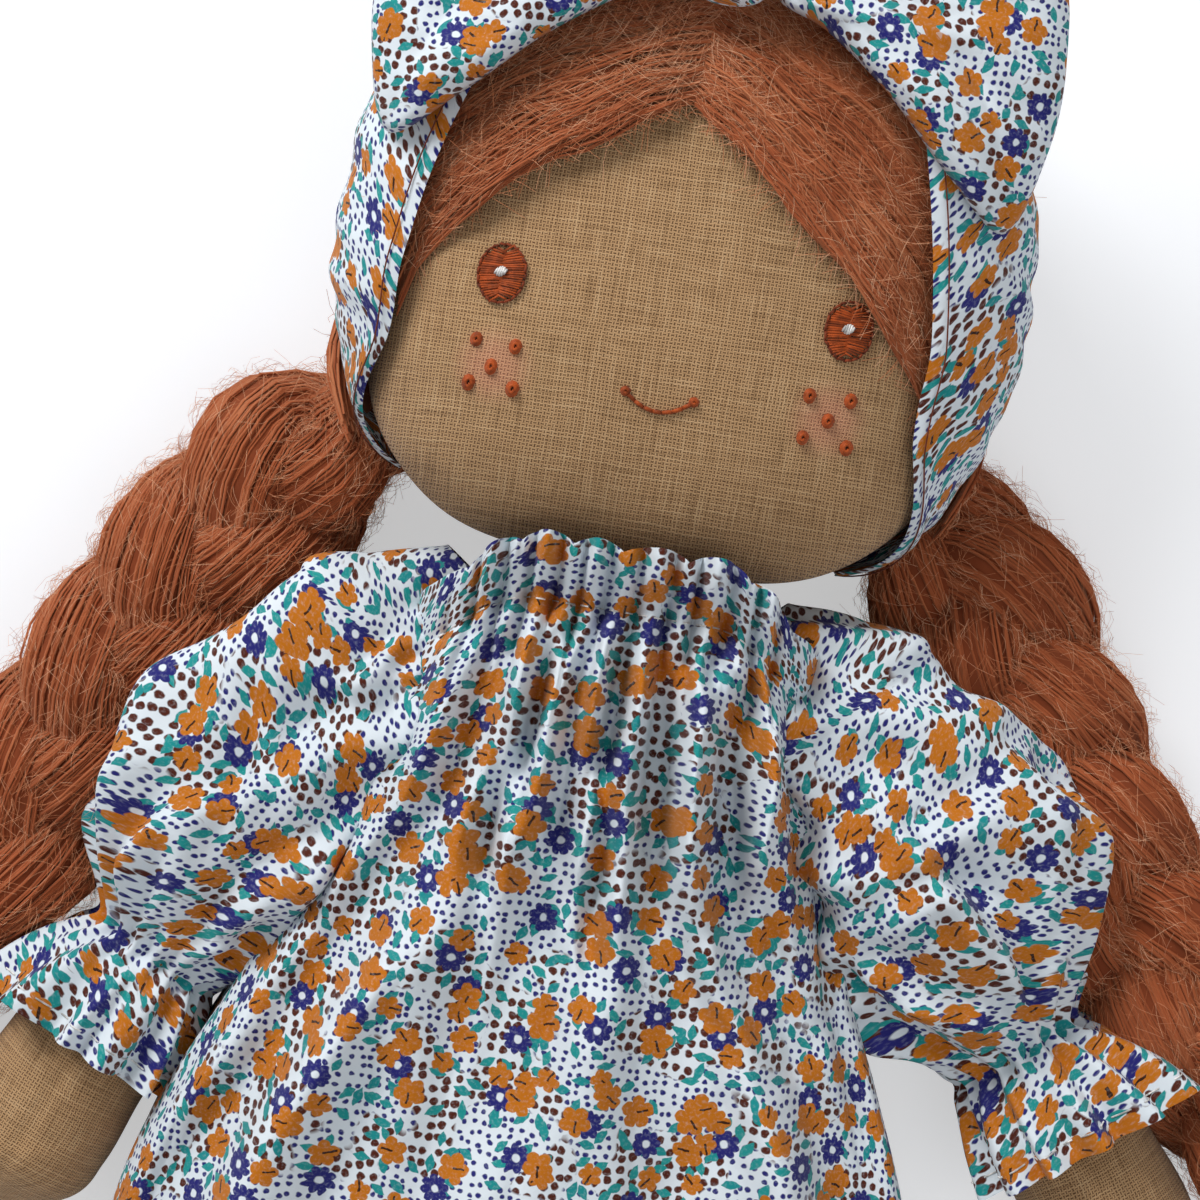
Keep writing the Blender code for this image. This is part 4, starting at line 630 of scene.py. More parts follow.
class RagDollYarn(bpy.types.PropertyGroup):
    """Fullness and colours of the yarn hair."""

    hair_strands: count_setting("Hair strands", "Strands in each front sweep", 820, 10)
    plait_strands: count_setting("Plait strands", "Strands in each of a braid's three parts", 200, 10)
    fuzz: count_setting("Fuzz", "Loose fibres in each part", 220, 10)
    braid_length: length_setting("Braid length", "From the root to the tie along the braid", 0.196)
    plait_pitch: length_setting("Plait pitch", "Length in which a part returns to its side", 0.078)
    dark_colour: colour_setting("Dark strands", "Darkest shade of the yarn", "864022")
    middle_colour: colour_setting("Middle strands", "Main shade of the yarn", "A85833")
    light_colour: colour_setting("Light strands", "Lightest shade of the yarn", "BE744C")


class RagDollCotton(bpy.types.PropertyGroup):
    """Sizes and colours of the printed smock, headband and bow."""

    neck_pleats: count_setting("Neck pleats", "Gathers round the front of the neckline", 26, 4)
    sleeve_pleats: count_setting("Sleeve pleats", "Gathers round each cuff", 19, 4)
    ruffle_above: length_setting("Neck ruffle", "From the neck elastic up to the ruffle's edge", 0.0115)
    ruffle_below: length_setting("Cuff ruffle", "From the cuff elastic to the ruffle's edge", 0.021)
    fold_depth: length_setting("Fold depth", "Depth of the skirt's folds at the hem", 0.0030)
    ground_colour: colour_setting("Ground", "Colour of the cotton between the motifs", "DDE5EB")
    flower_colour: colour_setting("Flowers", "Colour of the large flowers", "BE6D0E")
    leaf_colour: colour_setting("Leaves", "Colour of the leaves", "1C938F")
    navy_colour: colour_setting("Navy", "Colour of the small flowers and dots", "22226E")
    brown_colour: colour_setting("Brown", "Colour of the large dots", "501F10")


class RagDollStage(bpy.types.PropertyGroup):
    """Light and camera."""

    camera_height: length_setting("Camera height", "Height of the camera above the floor", 0.810)
    camera_roll: bpy.props.FloatProperty(
        name="Camera roll",
        description="Turn of the picture about the view",
        default=math.radians(9.5),
        subtype="ANGLE",
    )
    key_power: bpy.props.FloatProperty(
        name="Window light", description="Power of the light from above the head", default=16.0, unit="POWER"
    )
    room_strength: bpy.props.FloatProperty(
        name="Room light", description="Strength of the even light of the room", default=0.40, min=0.0
    )


# Pieces of the head


def stitch_paths(places, ways, arch, steps=7):
    """Short raised stitches on the face: each arches over the cloth from one needle hole to the next."""
    t = np.linspace(-0.5, 0.5, steps)
    paths = places[:, None] + t[None, :, None] * ways[:, None]
    z = face_height(paths[..., 0], paths[..., 1]) + arch * np.sqrt(np.maximum(1 - (2 * t) ** 2, 0))[None]
    return np.concatenate([paths, z[..., None]], axis=-1)


def knot_path(x, y, radius, stretch=1.0):
    """A french knot: one thread wound in three rising turns about its middle, drawn out along the face."""
    t = np.linspace(0, 1, 34)
    away = radius * (0.75 - 0.45 * t)
    x, y = x + away * np.cos(full_turn * 3 * t), y + stretch * away * np.sin(full_turn * 3 * t)
    return np.column_stack([x, y, face_height(x, y) + 0.0001 + 0.0009 * t])


class RAGDOLL_OT_head(bpy.types.Operator):
    """The stuffed linen head: a superellipse in plan and in profile, with a few soft dents of its filling."""

    bl_idname = "rag_doll.head"
    bl_label = "Stuffed head"

    def execute(self, context):
        turns = np.linspace(0, full_turn, 200, endpoint=False)
        tips = np.linspace(0.012, math.pi - 0.012, 120)[:, None]
        dents = drift(np.cos(turns)[None] * 0.8 + tips * 0.3, 5) + drift(np.sin(turns)[None] * 0.7 - tips * 0.25, 9)
        points = head_point(turns[None], tips, 0.00035 * dents * np.sin(tips) ** 2)
        points[..., 2] = np.maximum(points[..., 2], head_centre[2] - head_half[2])
        piece = make_surface("head", points, cloth_uv(points, True), True, True)
        finish_piece(piece, "plain_woven_face_linen", "head", ["head_linen", "head_stuffing"])
        return {"FINISHED"}


class RAGDOLL_OT_eyes(bpy.types.Operator):
    """Satin-stitched eyes: close slanting stitches inside a ring of darker ones, with a small white glint."""

    bl_idname = "rag_doll.eyes"
    bl_label = "Stitched eyes"

    def execute(self, context):
        linen = context.scene.rag_doll_linen
        eye_y = neckline + linen.eye_height
        wide, tall = linen.eye_width / 2, linen.eye_tall / 2
        t = np.linspace(0, 1, 9)
        for side, word in sides:
            picker = np.random.default_rng(3)
            middle = side * linen.eye_distance
            row = np.linspace(-0.93, 0.93, 23)
            half = wide * np.sqrt(1 - row**2) * picker.uniform(0.90, 1.02, 23)
            paths = []
            for part in (-1, 1):
                start = np.column_stack([middle + part * half, eye_y + row * tall + part * 0.0004])
                end = np.column_stack([np.full(23, middle - part * 0.0003), eye_y + row * tall * 0.80])
                end = end + picker.normal(0, 0.00012, end.shape)
                line = start[:, None] + (end - start)[:, None] * t[None, :, None]
                arch = 0.0009 * np.sqrt(np.sin(math.pi * (0.10 + 0.80 * t)))
                z = face_height(line[..., 0], line[..., 1]) + arch[None]
                paths.append(np.concatenate([line, z[..., None]], axis=-1))
            piece = make_strands(word + "_eye_stitches", [(np.concatenate(paths), 0.00022)], 5)
            finish_piece(piece, "rust_embroidery_thread", "head", [word + "_eye"])
            turns = np.linspace(0, full_turn, 22, endpoint=False)
            centres = np.column_stack([middle + wide * np.cos(turns), eye_y + tall * np.sin(turns)])
            ways = np.column_stack([-wide * np.sin(turns), tall * np.cos(turns)]) * 0.26
            ways = ways + picker.normal(0, 0.0002, ways.shape)
            piece = make_strands(word + "_eye_outline", [(stitch_paths(centres, ways, 0.0009), 0.00025)], 5)
            finish_piece(piece, "dark_embroidery_thread", "head")
            offset = np.arange(-2, 3)
            centres = np.column_stack([middle - 0.0002 + offset * 0.0004, np.full(5, eye_y + 0.0003)])
            ways = np.column_stack([np.full(5, 0.0004), 0.0016 * (1 - 0.12 * offset**2)])
            paths = stitch_paths(centres, ways, 0.0007)
            paths[..., 2] += 0.0009
            piece = make_strands(word + "_eye_glint_stitches", [(paths, 0.00024)], 5)
            finish_piece(piece, "white_cotton_thread", "head", [word + "_eye_glint"])
        return {"FINISHED"}


class RAGDOLL_OT_freckles(bpy.types.Operator):
    """Five thread knots on each cheek, placed like the five of a die."""

    bl_idname = "rag_doll.freckles"
    bl_label = "Knotted freckles"

    def execute(self, context):
        linen = context.scene.rag_doll_linen
        picker = np.random.default_rng(8)
        for side, word in sides:
            for place, across, up in (
                ("middle", 0, 0), ("top_in", -1, 1), ("top_out", 1, 1), ("low_in", -1, -1), ("low_out", 1, -1),
            ):
                x = side * (linen.freckle_distance + across * 0.0039) + picker.normal(0, 0.0002)
                y = neckline + linen.freckle_height + up * 0.0039 + picker.normal(0, 0.0002)
                paths = np.stack([knot_path(x, y, 0.0013 * picker.uniform(0.9, 1.1), picker.uniform(1.2, 1.5))])
                piece = make_strands(f"{word}_freckle_{place}_knot", [(paths, 0.00034)], 6)
                name = f"{word}_freckle_{place}"
                finish_piece(piece, "rust_embroidery_thread", "head", [name])
        return {"FINISHED"}


class RAGDOLL_OT_mouth(bpy.types.Operator):
    """The smile: a parabola of small chain stitches with a larger knot at each end."""

    bl_idname = "rag_doll.mouth"
    bl_label = "Stitched mouth"

    def execute(self, context):
        linen = context.scene.rag_doll_linen
        across = np.linspace(-0.84, 0.84, 7)
        height = neckline + linen.mouth_height
        centres = np.column_stack([across * linen.mouth_width / 2, height - 0.0027 * (1 - across**2)])
        paths = stitch_paths(centres, np.gradient(centres, axis=0) * 0.86, 0.0007)
        knots = np.array([knot_path(side * linen.mouth_width / 2, height, 0.0010) for side, _ in sides])
        piece = make_strands("mouth_stitches", [(paths, 0.00040), (knots, 0.00030)], 6)
        finish_piece(piece, "rust_embroidery_thread", "head", ["mouth"])
        return {"FINISHED"}


def sweep_paths(side, rows, stray, lift, steps=22):
    """Paths of hair on one side: out of the parting, then down in an arch to the cheek, and under the headband.

    rows runs from 0 at the forehead's edge to 1 at the crown; stray moves a path across, lift moves it off the head.
    """
    t = np.linspace(0, 1, steps)[None]
    rows = rows[:, None]
    part_x = -0.0025 * (1 - rows)
    part_y = neckline + 0.0815 + 0.032 * rows
    end_x = side * (0.0490 + 0.0090 * smooth_step(rows, 0, 0.7))
    end_y = neckline + 0.034 + 0.050 * rows - 0.003 * side
    fall = 1 - (1 - t) ** (0.62 + 0.09 * side - 0.10 * rows)
    x = part_x + (end_x - part_x) * t + side * stray[:, None] * np.sin(math.pi * t) * 0.6
    y = part_y + (end_y - part_y) * fall + stray[:, None] * smooth_step(t, 0.02, 0.4)
    pressed = 1 - 0.85 * smooth_step(rim_share(x, y), 0.62, 0.80)
    rooted = 0.35 + 0.65 * smooth_step(t, 0, 0.14)
    z = face_height(x, y, 0.0010 + (lift[:, None] - 0.0010) * pressed * rooted, 0.02)
    return np.stack([x, y, z], axis=-1)


class RAGDOLL_OT_front_hair(bpy.types.Operator):
    """Two sweeps of brushed yarn: fibres drawn into yarns over a bed made darker with painted shade, with loose
    fibres above.

    Each yarn follows an arch from the parting to the cheek and wanders on a slow sine.
    """

    bl_idname = "rag_doll.front_hair"
    bl_label = "Front hair"

    def execute(self, context):
        yarn = context.scene.rag_doll_yarn
        for side, word in sides:
            picker = np.random.default_rng(20 + side)
            bed_lift = np.full(30, 0.0022)
            bed = sweep_paths(side, np.linspace(0.0, 1, 30), np.zeros(30), bed_lift, 60)
            # The bed is darker than the strands: painted shade between them.
            piece = make_surface(word + "_hair_bed", bed, cloth_uv(bed))
            finish_piece(piece, "packed_wool_yarn", "head")
            count, locks = yarn.hair_strands, 62
            lock = picker.integers(0, locks, count)
            turn, away = picker.uniform(0, full_turn, count), np.sqrt(picker.uniform(0, 1, count)) * 0.00085
            lock_row = (np.arange(locks) + 0.5) / locks + picker.normal(0, 0.006, locks)
            rows = np.clip(lock_row[lock] + picker.normal(0, 0.002, count), 0, 1)
            lift = 0.0031 + picker.uniform(-0.0006, 0.0010, locks)[lock] + away * (0.9 + np.sin(turn))
            paths = sweep_paths(side, rows, away * np.cos(turn), lift)
            t = np.linspace(0, 1, paths.shape[1])[None]
            phase = picker.uniform(0, 1, (2, locks, 1))[:, lock]
            pitch = picker.uniform(1.2, 3.0, (locks, 1))[lock]
            waves = picker.uniform(2, 6, (count, 1)) * t + picker.uniform(0, 1, (count, 1))
            wander = 0.0009 * np.sin(full_turn * (pitch * t + phase[0])) * np.sin(math.pi * t) ** 0.5
            paths[..., 1] += 0.00022 * np.sin(full_turn * waves) + wander
            paths[..., 2] += 0.00022 * np.cos(full_turn * waves * 1.3) + 0.5 * np.roll(wander, 3, axis=1)
            radius = 0.00026 * (0.35 + 0.65 * np.sqrt(np.sin(math.pi * np.clip(t * 0.9 + 0.04, 0, 1))))
            shade = 0.65 * picker.random(locks)[lock] + 0.35 * picker.random(count)
            piece = make_strands(word + "_hair_sweep", [(paths, radius, shade)])
            finish_piece(piece, "brushed_wool_yarn", "head", [word + "_front_hair"])
            count = yarn.fuzz * 32
            chosen, step = picker.integers(0, len(paths), count), picker.integers(1, 21, count)
            along = unit(np.gradient(paths, axis=1))[chosen, step]
            out = unit(np.cross(np.cross(along, np.array([0, 0, 1.0])), along))
            fuzz = loose_fibres(picker, paths[chosen, step], along, out, 0.0050, 0.0013)
            # The loose fibres are lighter than the yarn: painted glow of light through them.
            piece = make_strands(word + "_hair_fuzz", [(fuzz, 0.000032)], 2)
            finish_piece(piece, "loose_wool_fibre", "head")
        return {"FINISHED"}


class RAGDOLL_OT_back_hair(bpy.types.Operator):
    """The cap of hair behind the headband, ridged like laid yarn, and the strands that run down to each braid.

    The cap is the head's own surface, lifted and ridged; each strand is an arc round the head's side.
    """

    bl_idname = "rag_doll.back_hair"
    bl_label = "Back hair"

    def execute(self, context):
        turns = np.linspace(0, full_turn, 240, endpoint=False)
        jaw = smooth_step(-np.sin(turns), 0.17, 0.82)
        start = quarter - 0.25 + 0.75 * jaw
        rows = np.linspace(0, 1, 40)[:, None]
        tips = start[None] + (math.pi - 0.01 - start)[None] * rows
        ridge = 0.0005 * np.cos(60 * turns)[None] * np.sin(math.pi * rows)
        points = head_point(turns[None], tips, 0.001 + 0.004 * (1 - 0.7 * jaw)[None] + ridge)
        points[..., 2] = np.maximum(points[..., 2], 0.0)
        # The cap is darker than the yarn: painted shade behind the headband and under the side strands.
        piece = make_surface("hair_cap", points, cloth_uv(points, True), True)
        finish_piece(piece, "packed_wool_yarn", "head", ["back_hair"])
        picker = np.random.default_rng(14)
        count = context.scene.rag_doll_yarn.plait_strands
        t = np.linspace(0, 1, 22)[None]
        for side, word in sides:
            tip = quarter + picker.uniform(0.40, 0.95, (count, 1)) - 0.30 * smooth_step(t, 0.72, 1.0)
            tip = tip + 0.03 * np.sin(full_turn * (2 * t + picker.random((count, 1))))
            turn = quarter - side * (quarter * (0.35 + 1.03 * t) + picker.normal(0, 0.02, (count, 1)))
            shown = smooth_step(t, 0.62, 0.76) * (1 - 0.6 * smooth_step(t, 0.85, 1))
            lift = 0.0046 + (0.0024 + picker.uniform(0, 0.0024, (count, 1))) * shown
            paths = head_point(turn, tip, lift)
            paths[..., 2] = np.maximum(paths[..., 2], 0.0004)
            piece = make_strands(word + "_side_hair", [(paths, 0.00030)])
            finish_piece(piece, "brushed_wool_yarn", "head")
            number = count * 6
            chosen, step = picker.integers(0, count, number), picker.integers(1, 21, number)
            along = unit(np.gradient(paths, axis=1))[chosen, step]
            out = unit(paths[chosen, step] - head_centre)
            out = unit(np.cross(np.cross(along, out), along))
            fibres = loose_fibres(picker, paths[chosen, step], along, out, 0.006, 0.0022)
            fibres[..., 2] = np.maximum(fibres[..., 2], 0.0003)
            # The loose fibres are lighter than the yarn: painted glow of light through them.
            piece = make_strands(word + "_side_fuzz", [(fibres, 0.00004)], 2)
            finish_piece(piece, "loose_wool_fibre", "head")
        return {"FINISHED"}


# The headband's edges: direction in right angles from the side, front edge in shares of the face, width past it
band_edges = [
    (-0.56, 0.995, 0.10), (-0.44, 0.960, 0.22), (-0.25, 0.862, 0.34), (0.00, 0.800, 0.42), (0.30, 0.765, 0.46),
    (0.60, 0.830, 0.44), (0.80, 0.885, 0.42), (1.00, 0.900, 0.42),
]


class RAGDOLL_OT_headband(bpy.types.Operator):
    """The printed headband from jaw to jaw: it follows the head over the hair, with soft creases across it.

    Its front edge is rolled and stitched; its ends turn behind the head to the elastic.
    """

    bl_idname = "rag_doll.headband"
    bl_label = "Headband"

    def execute(self, context):
        one_side = np.linspace(-0.56, 1, 120)
        folded = np.concatenate([one_side, one_side[::-1][1:]])
        turn = np.concatenate([one_side, 2 - one_side[::-1][1:]]) * quarter
        turn = turn + 0.07 * smooth_step(-folded, 0.0, 0.56) * np.where(np.cos(turn) > 0, -0.6, -1.6)
        edges = read_table(band_edges, folded)
        inward = np.where(np.cos(turn) > 0, 0.075, 0.025) * smooth_step(0.9 - folded, 0.1, 0.9)
        edges[:, 0] -= inward * smooth_step(folded, -0.6, -0.2)
        behind = 0.42 * smooth_step(-folded, 0.30, 0.56)
        tip_front = np.arcsin(np.clip(edges[:, 0], 0, 1) ** (profile_power / 2)) + behind
        tip_back = quarter + edges[:, 1] * quarter + behind * 0.6
        share = np.linspace(0, 1, 70)
        tip = tip_front[:, None] + (tip_back - tip_front)[:, None] * share[None]
        height = head_half[1] * np.sin(turn) * head_rim(turn) + head_centre[1] - neckline
        hair = hair_lift(height) * (1 - 0.8 * smooth_step(-folded, 0.1, 0.45))
        puff = 0.0022 * np.where(np.cos(turn) > 0, 1, 0.3) * np.exp(-(((folded - 0.1) / 0.35) ** 2))
        roll = 0.0010 * (1 - np.exp(-((share / 0.025) ** 1.2)))
        u, v = turn[:, None] * head_half[0], share[None] * 0.04
        crease = creases(u, v, 31, 26, (-0.05, 0.23, 0, 0.04), 0.014, 0.0028, 0.0011, 1.2, 0.35)
        crease = crease + 0.0006 * drift(turn[:, None] * 2.2 + share[None] * 0.6, 31)
        lift = hair[:, None] + 0.0020 + roll[None] + crease * np.sin(math.pi * share)[None] ** 0.5
        lift = lift + puff[:, None] * smooth_step(share, 0.1, 0.6)[None]
        points = head_point(turn[:, None], tip, lift)
        level = head_point(turn[:, None], tip, hair[:, None] + 0.003 + 0 * share[None])
        uv = cloth_uv(level.transpose(1, 0, 2)).transpose(1, 0, 2)
        piece = make_surface("headband_cloth", points, uv)
        finish_piece(piece, "printed_cotton_lawn", "head", ["headband"])
        seam = head_point(turn, tip_front + 0.045, hair + 0.0034)
        piece = make_strands("headband_seam", [(seam[None], 0.00016)], 5)
        finish_piece(piece, "dark_embroidery_thread", "head")
        centre, half = box_of("nape_elastic")
        t = np.linspace(0, math.pi, 90)
        y = centre[1] + half[1] * (1 - np.sin(t) ** 2) + 0.0003 * np.sin(40 * t)
        z = centre[2] + half[2] - 1.2 * half[2] * np.sin(t) ** 0.7
        line = np.stack([-0.93 * half[0] * np.cos(t), y, z], axis=-1)
        across = np.linspace(-0.003, 0.003, 8)[None, :, None] * np.array([0, -0.25, 0.95])
        points = line[:, None] + across
        piece = make_surface("nape_elastic_band", points, cloth_uv(points))
        finish_piece(piece, "woven_elastic", "head", ["nape_elastic"])
        return {"FINISHED"}


# A bow loop's outline, in shares of its span to the side and of its drop below the knot
bow_outline = [
    (0.14, 0.13), (0.40, 0.30), (0.72, 0.36), (0.94, 0.18), (1.00, -0.22), (0.99, -0.60),
    (0.90, -0.98), (0.70, -0.78), (0.50, -0.50), (0.30, -0.28), (0.14, -0.16),
]


class RAGDOLL_OT_bow(bpy.types.Operator):
    """Two soft loops that spread from the knot: a closed outline filled with rings, puffed by a rounded profile.

    Creases run to the knot: a wave of the direction from it, fading with the distance. The print is laid out
    from the middle of each loop's top, by the way along the cloth.
    """

    bl_idname = "rag_doll.bow"
    bl_label = "Bow"

    def execute(self, context):
        knot_centre, knot_half = box_of("bow_knot")
        knot_centre = knot_centre + np.array([0, 0.003, 0])
        span, drop = 0.062, 0.042
        for side, word in sides:
            outline = closed_curve(bow_outline, 160)
            rim = np.column_stack([side * outline[:, 0] * span, knot_centre[1] + outline[:, 1] * drop])
            share, centre = np.linspace(1, 0.02, 56)[:, None], rim.mean(axis=0)
            plan = centre + share[..., None] * (rim - centre)[None]
            x, y = plan[..., 0], plan[..., 1]
            base = face_height(x, y, 0.009, 0.28)
            away = np.hypot(x, y - knot_centre[1])
            angle = np.arctan2(y - knot_centre[1], side * x)
            folds = 0.0022 * drift(angle * 1.4, 60 + side) * np.exp(-away / 0.034)
            area = (0.02, 0.06, 0.11, 0.17)
            folds = folds + creases(x * side, y, 70 + side, 12, area, 0.016, 0.003, 0.0018, -0.7, 0.5)
            puff = np.sqrt(np.maximum(1 - share**2.6, 0))
            top = base + 0.0015 + (0.0090 + folds) * puff
            step = np.linalg.norm(np.diff(np.stack([x, y, top], axis=-1), axis=0), axis=-1)
            from_rim = np.concatenate([np.zeros((1, len(rim))), np.cumsum(step, axis=0)])[..., None]
            ways = from_rim[-1] + from_rim, from_rim[-1] - from_rim
            under, over = (centre + unit(rim - centre) * way for way in ways)
            uv = np.concatenate([under[::-1], over[1:]]) + np.array([0.3, 0.2 * side])
            uv = np.concatenate([uv, uv[:, :1]], axis=1)
            low = np.stack([x, y, base], axis=-1)[::-1]
            shell = np.concatenate([low, np.stack([x, y, top], axis=-1)[1:]])
            piece = make_surface(word + "_bow_loop_cloth", shell, uv, True, True)
            finish_piece(piece, "printed_cotton_lawn", "head", [word + "_bow_loop"])
        turns = np.linspace(0, full_turn, 90, endpoint=False)
        shares = np.cos(np.linspace(0.02, math.pi - 0.02, 60))[:, None]
        wide = np.sqrt(1 - shares**4) * (1 + 0.05 * np.cos(9 * turns + 2 * shares))
        x = knot_half[0] * wide * rounded(np.cos(turns), 2.4)
        y = knot_centre[1] + knot_half[1] * shares * np.ones_like(turns)
        z = knot_centre[2] + knot_half[2] * wide * rounded(np.sin(turns), 2.4)
        points = np.stack([x, y, z], axis=-1)
        piece = make_surface("bow_knot_cloth", points, cloth_uv(points, True), True, True)
        finish_piece(piece, "printed_cotton_lawn", "head", ["bow_knot"])
        return {"FINISHED"}


# Braids: points of each path in shares of its length, out from the root and up the body
braid_paths = {
    -1: [
        (0.00, 0.00), (0.05, -0.05), (0.11, -0.14), (0.16, -0.24), (0.21, -0.34), (0.27, -0.45), (0.34, -0.57),
        (0.43, -0.70), (0.53, -0.84), (0.64, -0.98), (0.76, -1.12),
    ],
    1: [
        (0.00, 0.00), (0.04, -0.05), (0.10, -0.14), (0.16, -0.23), (0.23, -0.33), (0.34, -0.45), (0.46, -0.56),
        (0.58, -0.68), (0.71, -0.81), (0.86, -0.93),
    ],
}


def braid_frame(side, distance, braid_length):
    """Middle, outward and onward directions of a braid at distances from its root."""
    points = np.array(braid_paths[side]) * braid_length
    chord = np.concatenate([[0], np.cumsum(np.hypot(*np.diff(points, axis=0).T))])
    table = np.column_stack([chord, points])
    at = np.clip(distance, 0, chord[-1])
    ahead = read_table(table, np.minimum(at + 0.001, chord[-1]))
    heading = unit(ahead - read_table(table, np.maximum(at - 0.001, 0)))
    place = read_table(table, at) + np.minimum(distance, 0)[:, None] * heading[:1] * np.array([1.0, 0.8])
    place[:, 0] -= 0.002 + 0.0025 * smooth_step(distance, 0, 0.05)
    place[:, 1] -= 0.003 * (1 - smooth_step(distance, 0.02, 0.06))
    root = joint_place(f"{dict(sides)[side]}_braid_swing")
    level = np.zeros(len(place))
    middle = np.stack([root[0] + side * place[:, 0], root[1] + place[:, 1], level], axis=-1)
    outward = np.stack([-side * heading[:, 1], heading[:, 0], level], axis=-1)
    onward = np.stack([side * heading[:, 0], heading[:, 1], level], axis=-1)
    return middle, outward, onward


def plait_part(side, number, distance, yarn):
    """Centre line, radius and side directions of one of the three parts of a plait.

    It sways on a sine from side to side, and rises and dips on a sine twice as fast; it thins toward the tie.
    """
    middle, outward, _ = braid_frame(side, distance, yarn.braid_length)
    phase = full_turn * (distance / yarn.plait_pitch + number / 3) * side
    grown = smooth_step(distance, -0.014, 0.010)
    thin = 1 - 0.42 * smooth_step(distance, 0.6 * yarn.braid_length, yarn.braid_length)
    sway = 0.0092 * np.sin(phase) * grown * thin + 0.004 * np.sin(full_turn * number / 3) * (1 - grown)
    centre = middle + outward * sway[:, None]
    centre[:, 2] = 0.0138 * thin + 0.0012 + 0.0052 * np.sin(2 * phase) * grown * thin
    radius = (0.0070 + 0.0028 * grown) * thin
    along = unit(np.gradient(centre, axis=0))
    across = unit(outward - (outward * along).sum(-1, keepdims=True) * along)
    return centre, radius, across, np.cross(across, along)


class RAGDOLL_OT_braids(bpy.types.Operator):
    """Each braid: three plump parts plaited over and under, of wool laid in yarns, with a halo of loose fibres made
    lighter than the yarn with painted light.
    """

    bl_idname = "rag_doll.braids"
    bl_label = "Braids"

    def execute(self, context):
        yarn = context.scene.rag_doll_yarn
        distance = np.linspace(-0.024, yarn.braid_length, 64)
        turns = np.linspace(0, full_turn, 24, endpoint=False)[:, None]
        for side, word in sides:
            picker = np.random.default_rng(80 + side)
            for number in range(3):
                centre, radius, across, above = plait_part(side, number, distance, yarn)
                ring = np.cos(turns) * across[:, None] * 1.08 + np.sin(turns) * above[:, None] * 0.88
                bed = centre[:, None] + (radius - 0.0004)[:, None, None] * ring
                bed[..., 2] = np.maximum(bed[..., 2], 0.0003)
                # Each part's bed is darker than its strands: painted shade between and under them.
                piece = make_surface(f"{word}_plait_bed_{number + 1}", bed, cloth_uv(bed, True), True)
                finish_piece(piece, "packed_wool_yarn", word + "_braid")
                groups = []
                count, locks = yarn.plait_strands, 30
                start = picker.uniform(0, full_turn, (count, 1))
                index = np.round(start / full_turn * locks).astype(int) % locks
                off = (start / full_turn * locks - np.round(start / full_turn * locks)) * 2
                share = distance / yarn.braid_length
                phase, pitch = picker.uniform(0, 1, (locks,))[index], picker.uniform(3, 8, (locks,))[index]
                wander = np.sin(full_turn * (pitch * share + phase))
                waves = picker.uniform(4, 12, (count, 1)) * share + picker.uniform(0, 1, (count, 1))
                out = radius + 0.0004 * wander + 0.00025 * np.sin(full_turn * waves)
                out = out - 0.0006 * off**2 + picker.uniform(-0.0003, 0.0003, (count, 1))
                twist = start + 5.0 * share + 0.07 * wander + 0.02 * np.sin(full_turn * (waves + 0.3))
                ring = np.cos(twist)[..., None] * across * 1.08 + np.sin(twist)[..., None] * above * 0.88
                paths = centre + out[..., None] * ring
                paths[..., 2] = np.maximum(paths[..., 2], 0.0004)
                shade = 0.35 * picker.random(locks)[index[:, 0]] + 0.25 * picker.random(count) + 0.1
                groups.append((paths, 0.00033, shade))
                name = f"{word}_plait_{number + 1}"
                replaced = [word + "_braid"] if number == 0 else []
                finish_piece(make_strands(name, groups), "brushed_wool_yarn", word + "_braid", replaced)
                count = yarn.fuzz * 47
                chosen, step = picker.integers(0, len(paths), count), picker.integers(2, len(distance) - 1, count)
                along = unit(np.gradient(paths, axis=1))[chosen, step]
                fibres = loose_fibres(picker, paths[chosen, step], along, unit(ring[chosen, step]), 0.0062, 0.0030)
                fibres[..., 2] = np.maximum(fibres[..., 2], 0.0003)
                # The loose fibres are lighter than the yarn: painted glow of light through them.
                piece = make_strands(f"{word}_plait_fuzz_{number + 1}", [(fibres, 0.000028)], 2)
                finish_piece(piece, "loose_wool_fibre", word + "_braid")
        return {"FINISHED"}


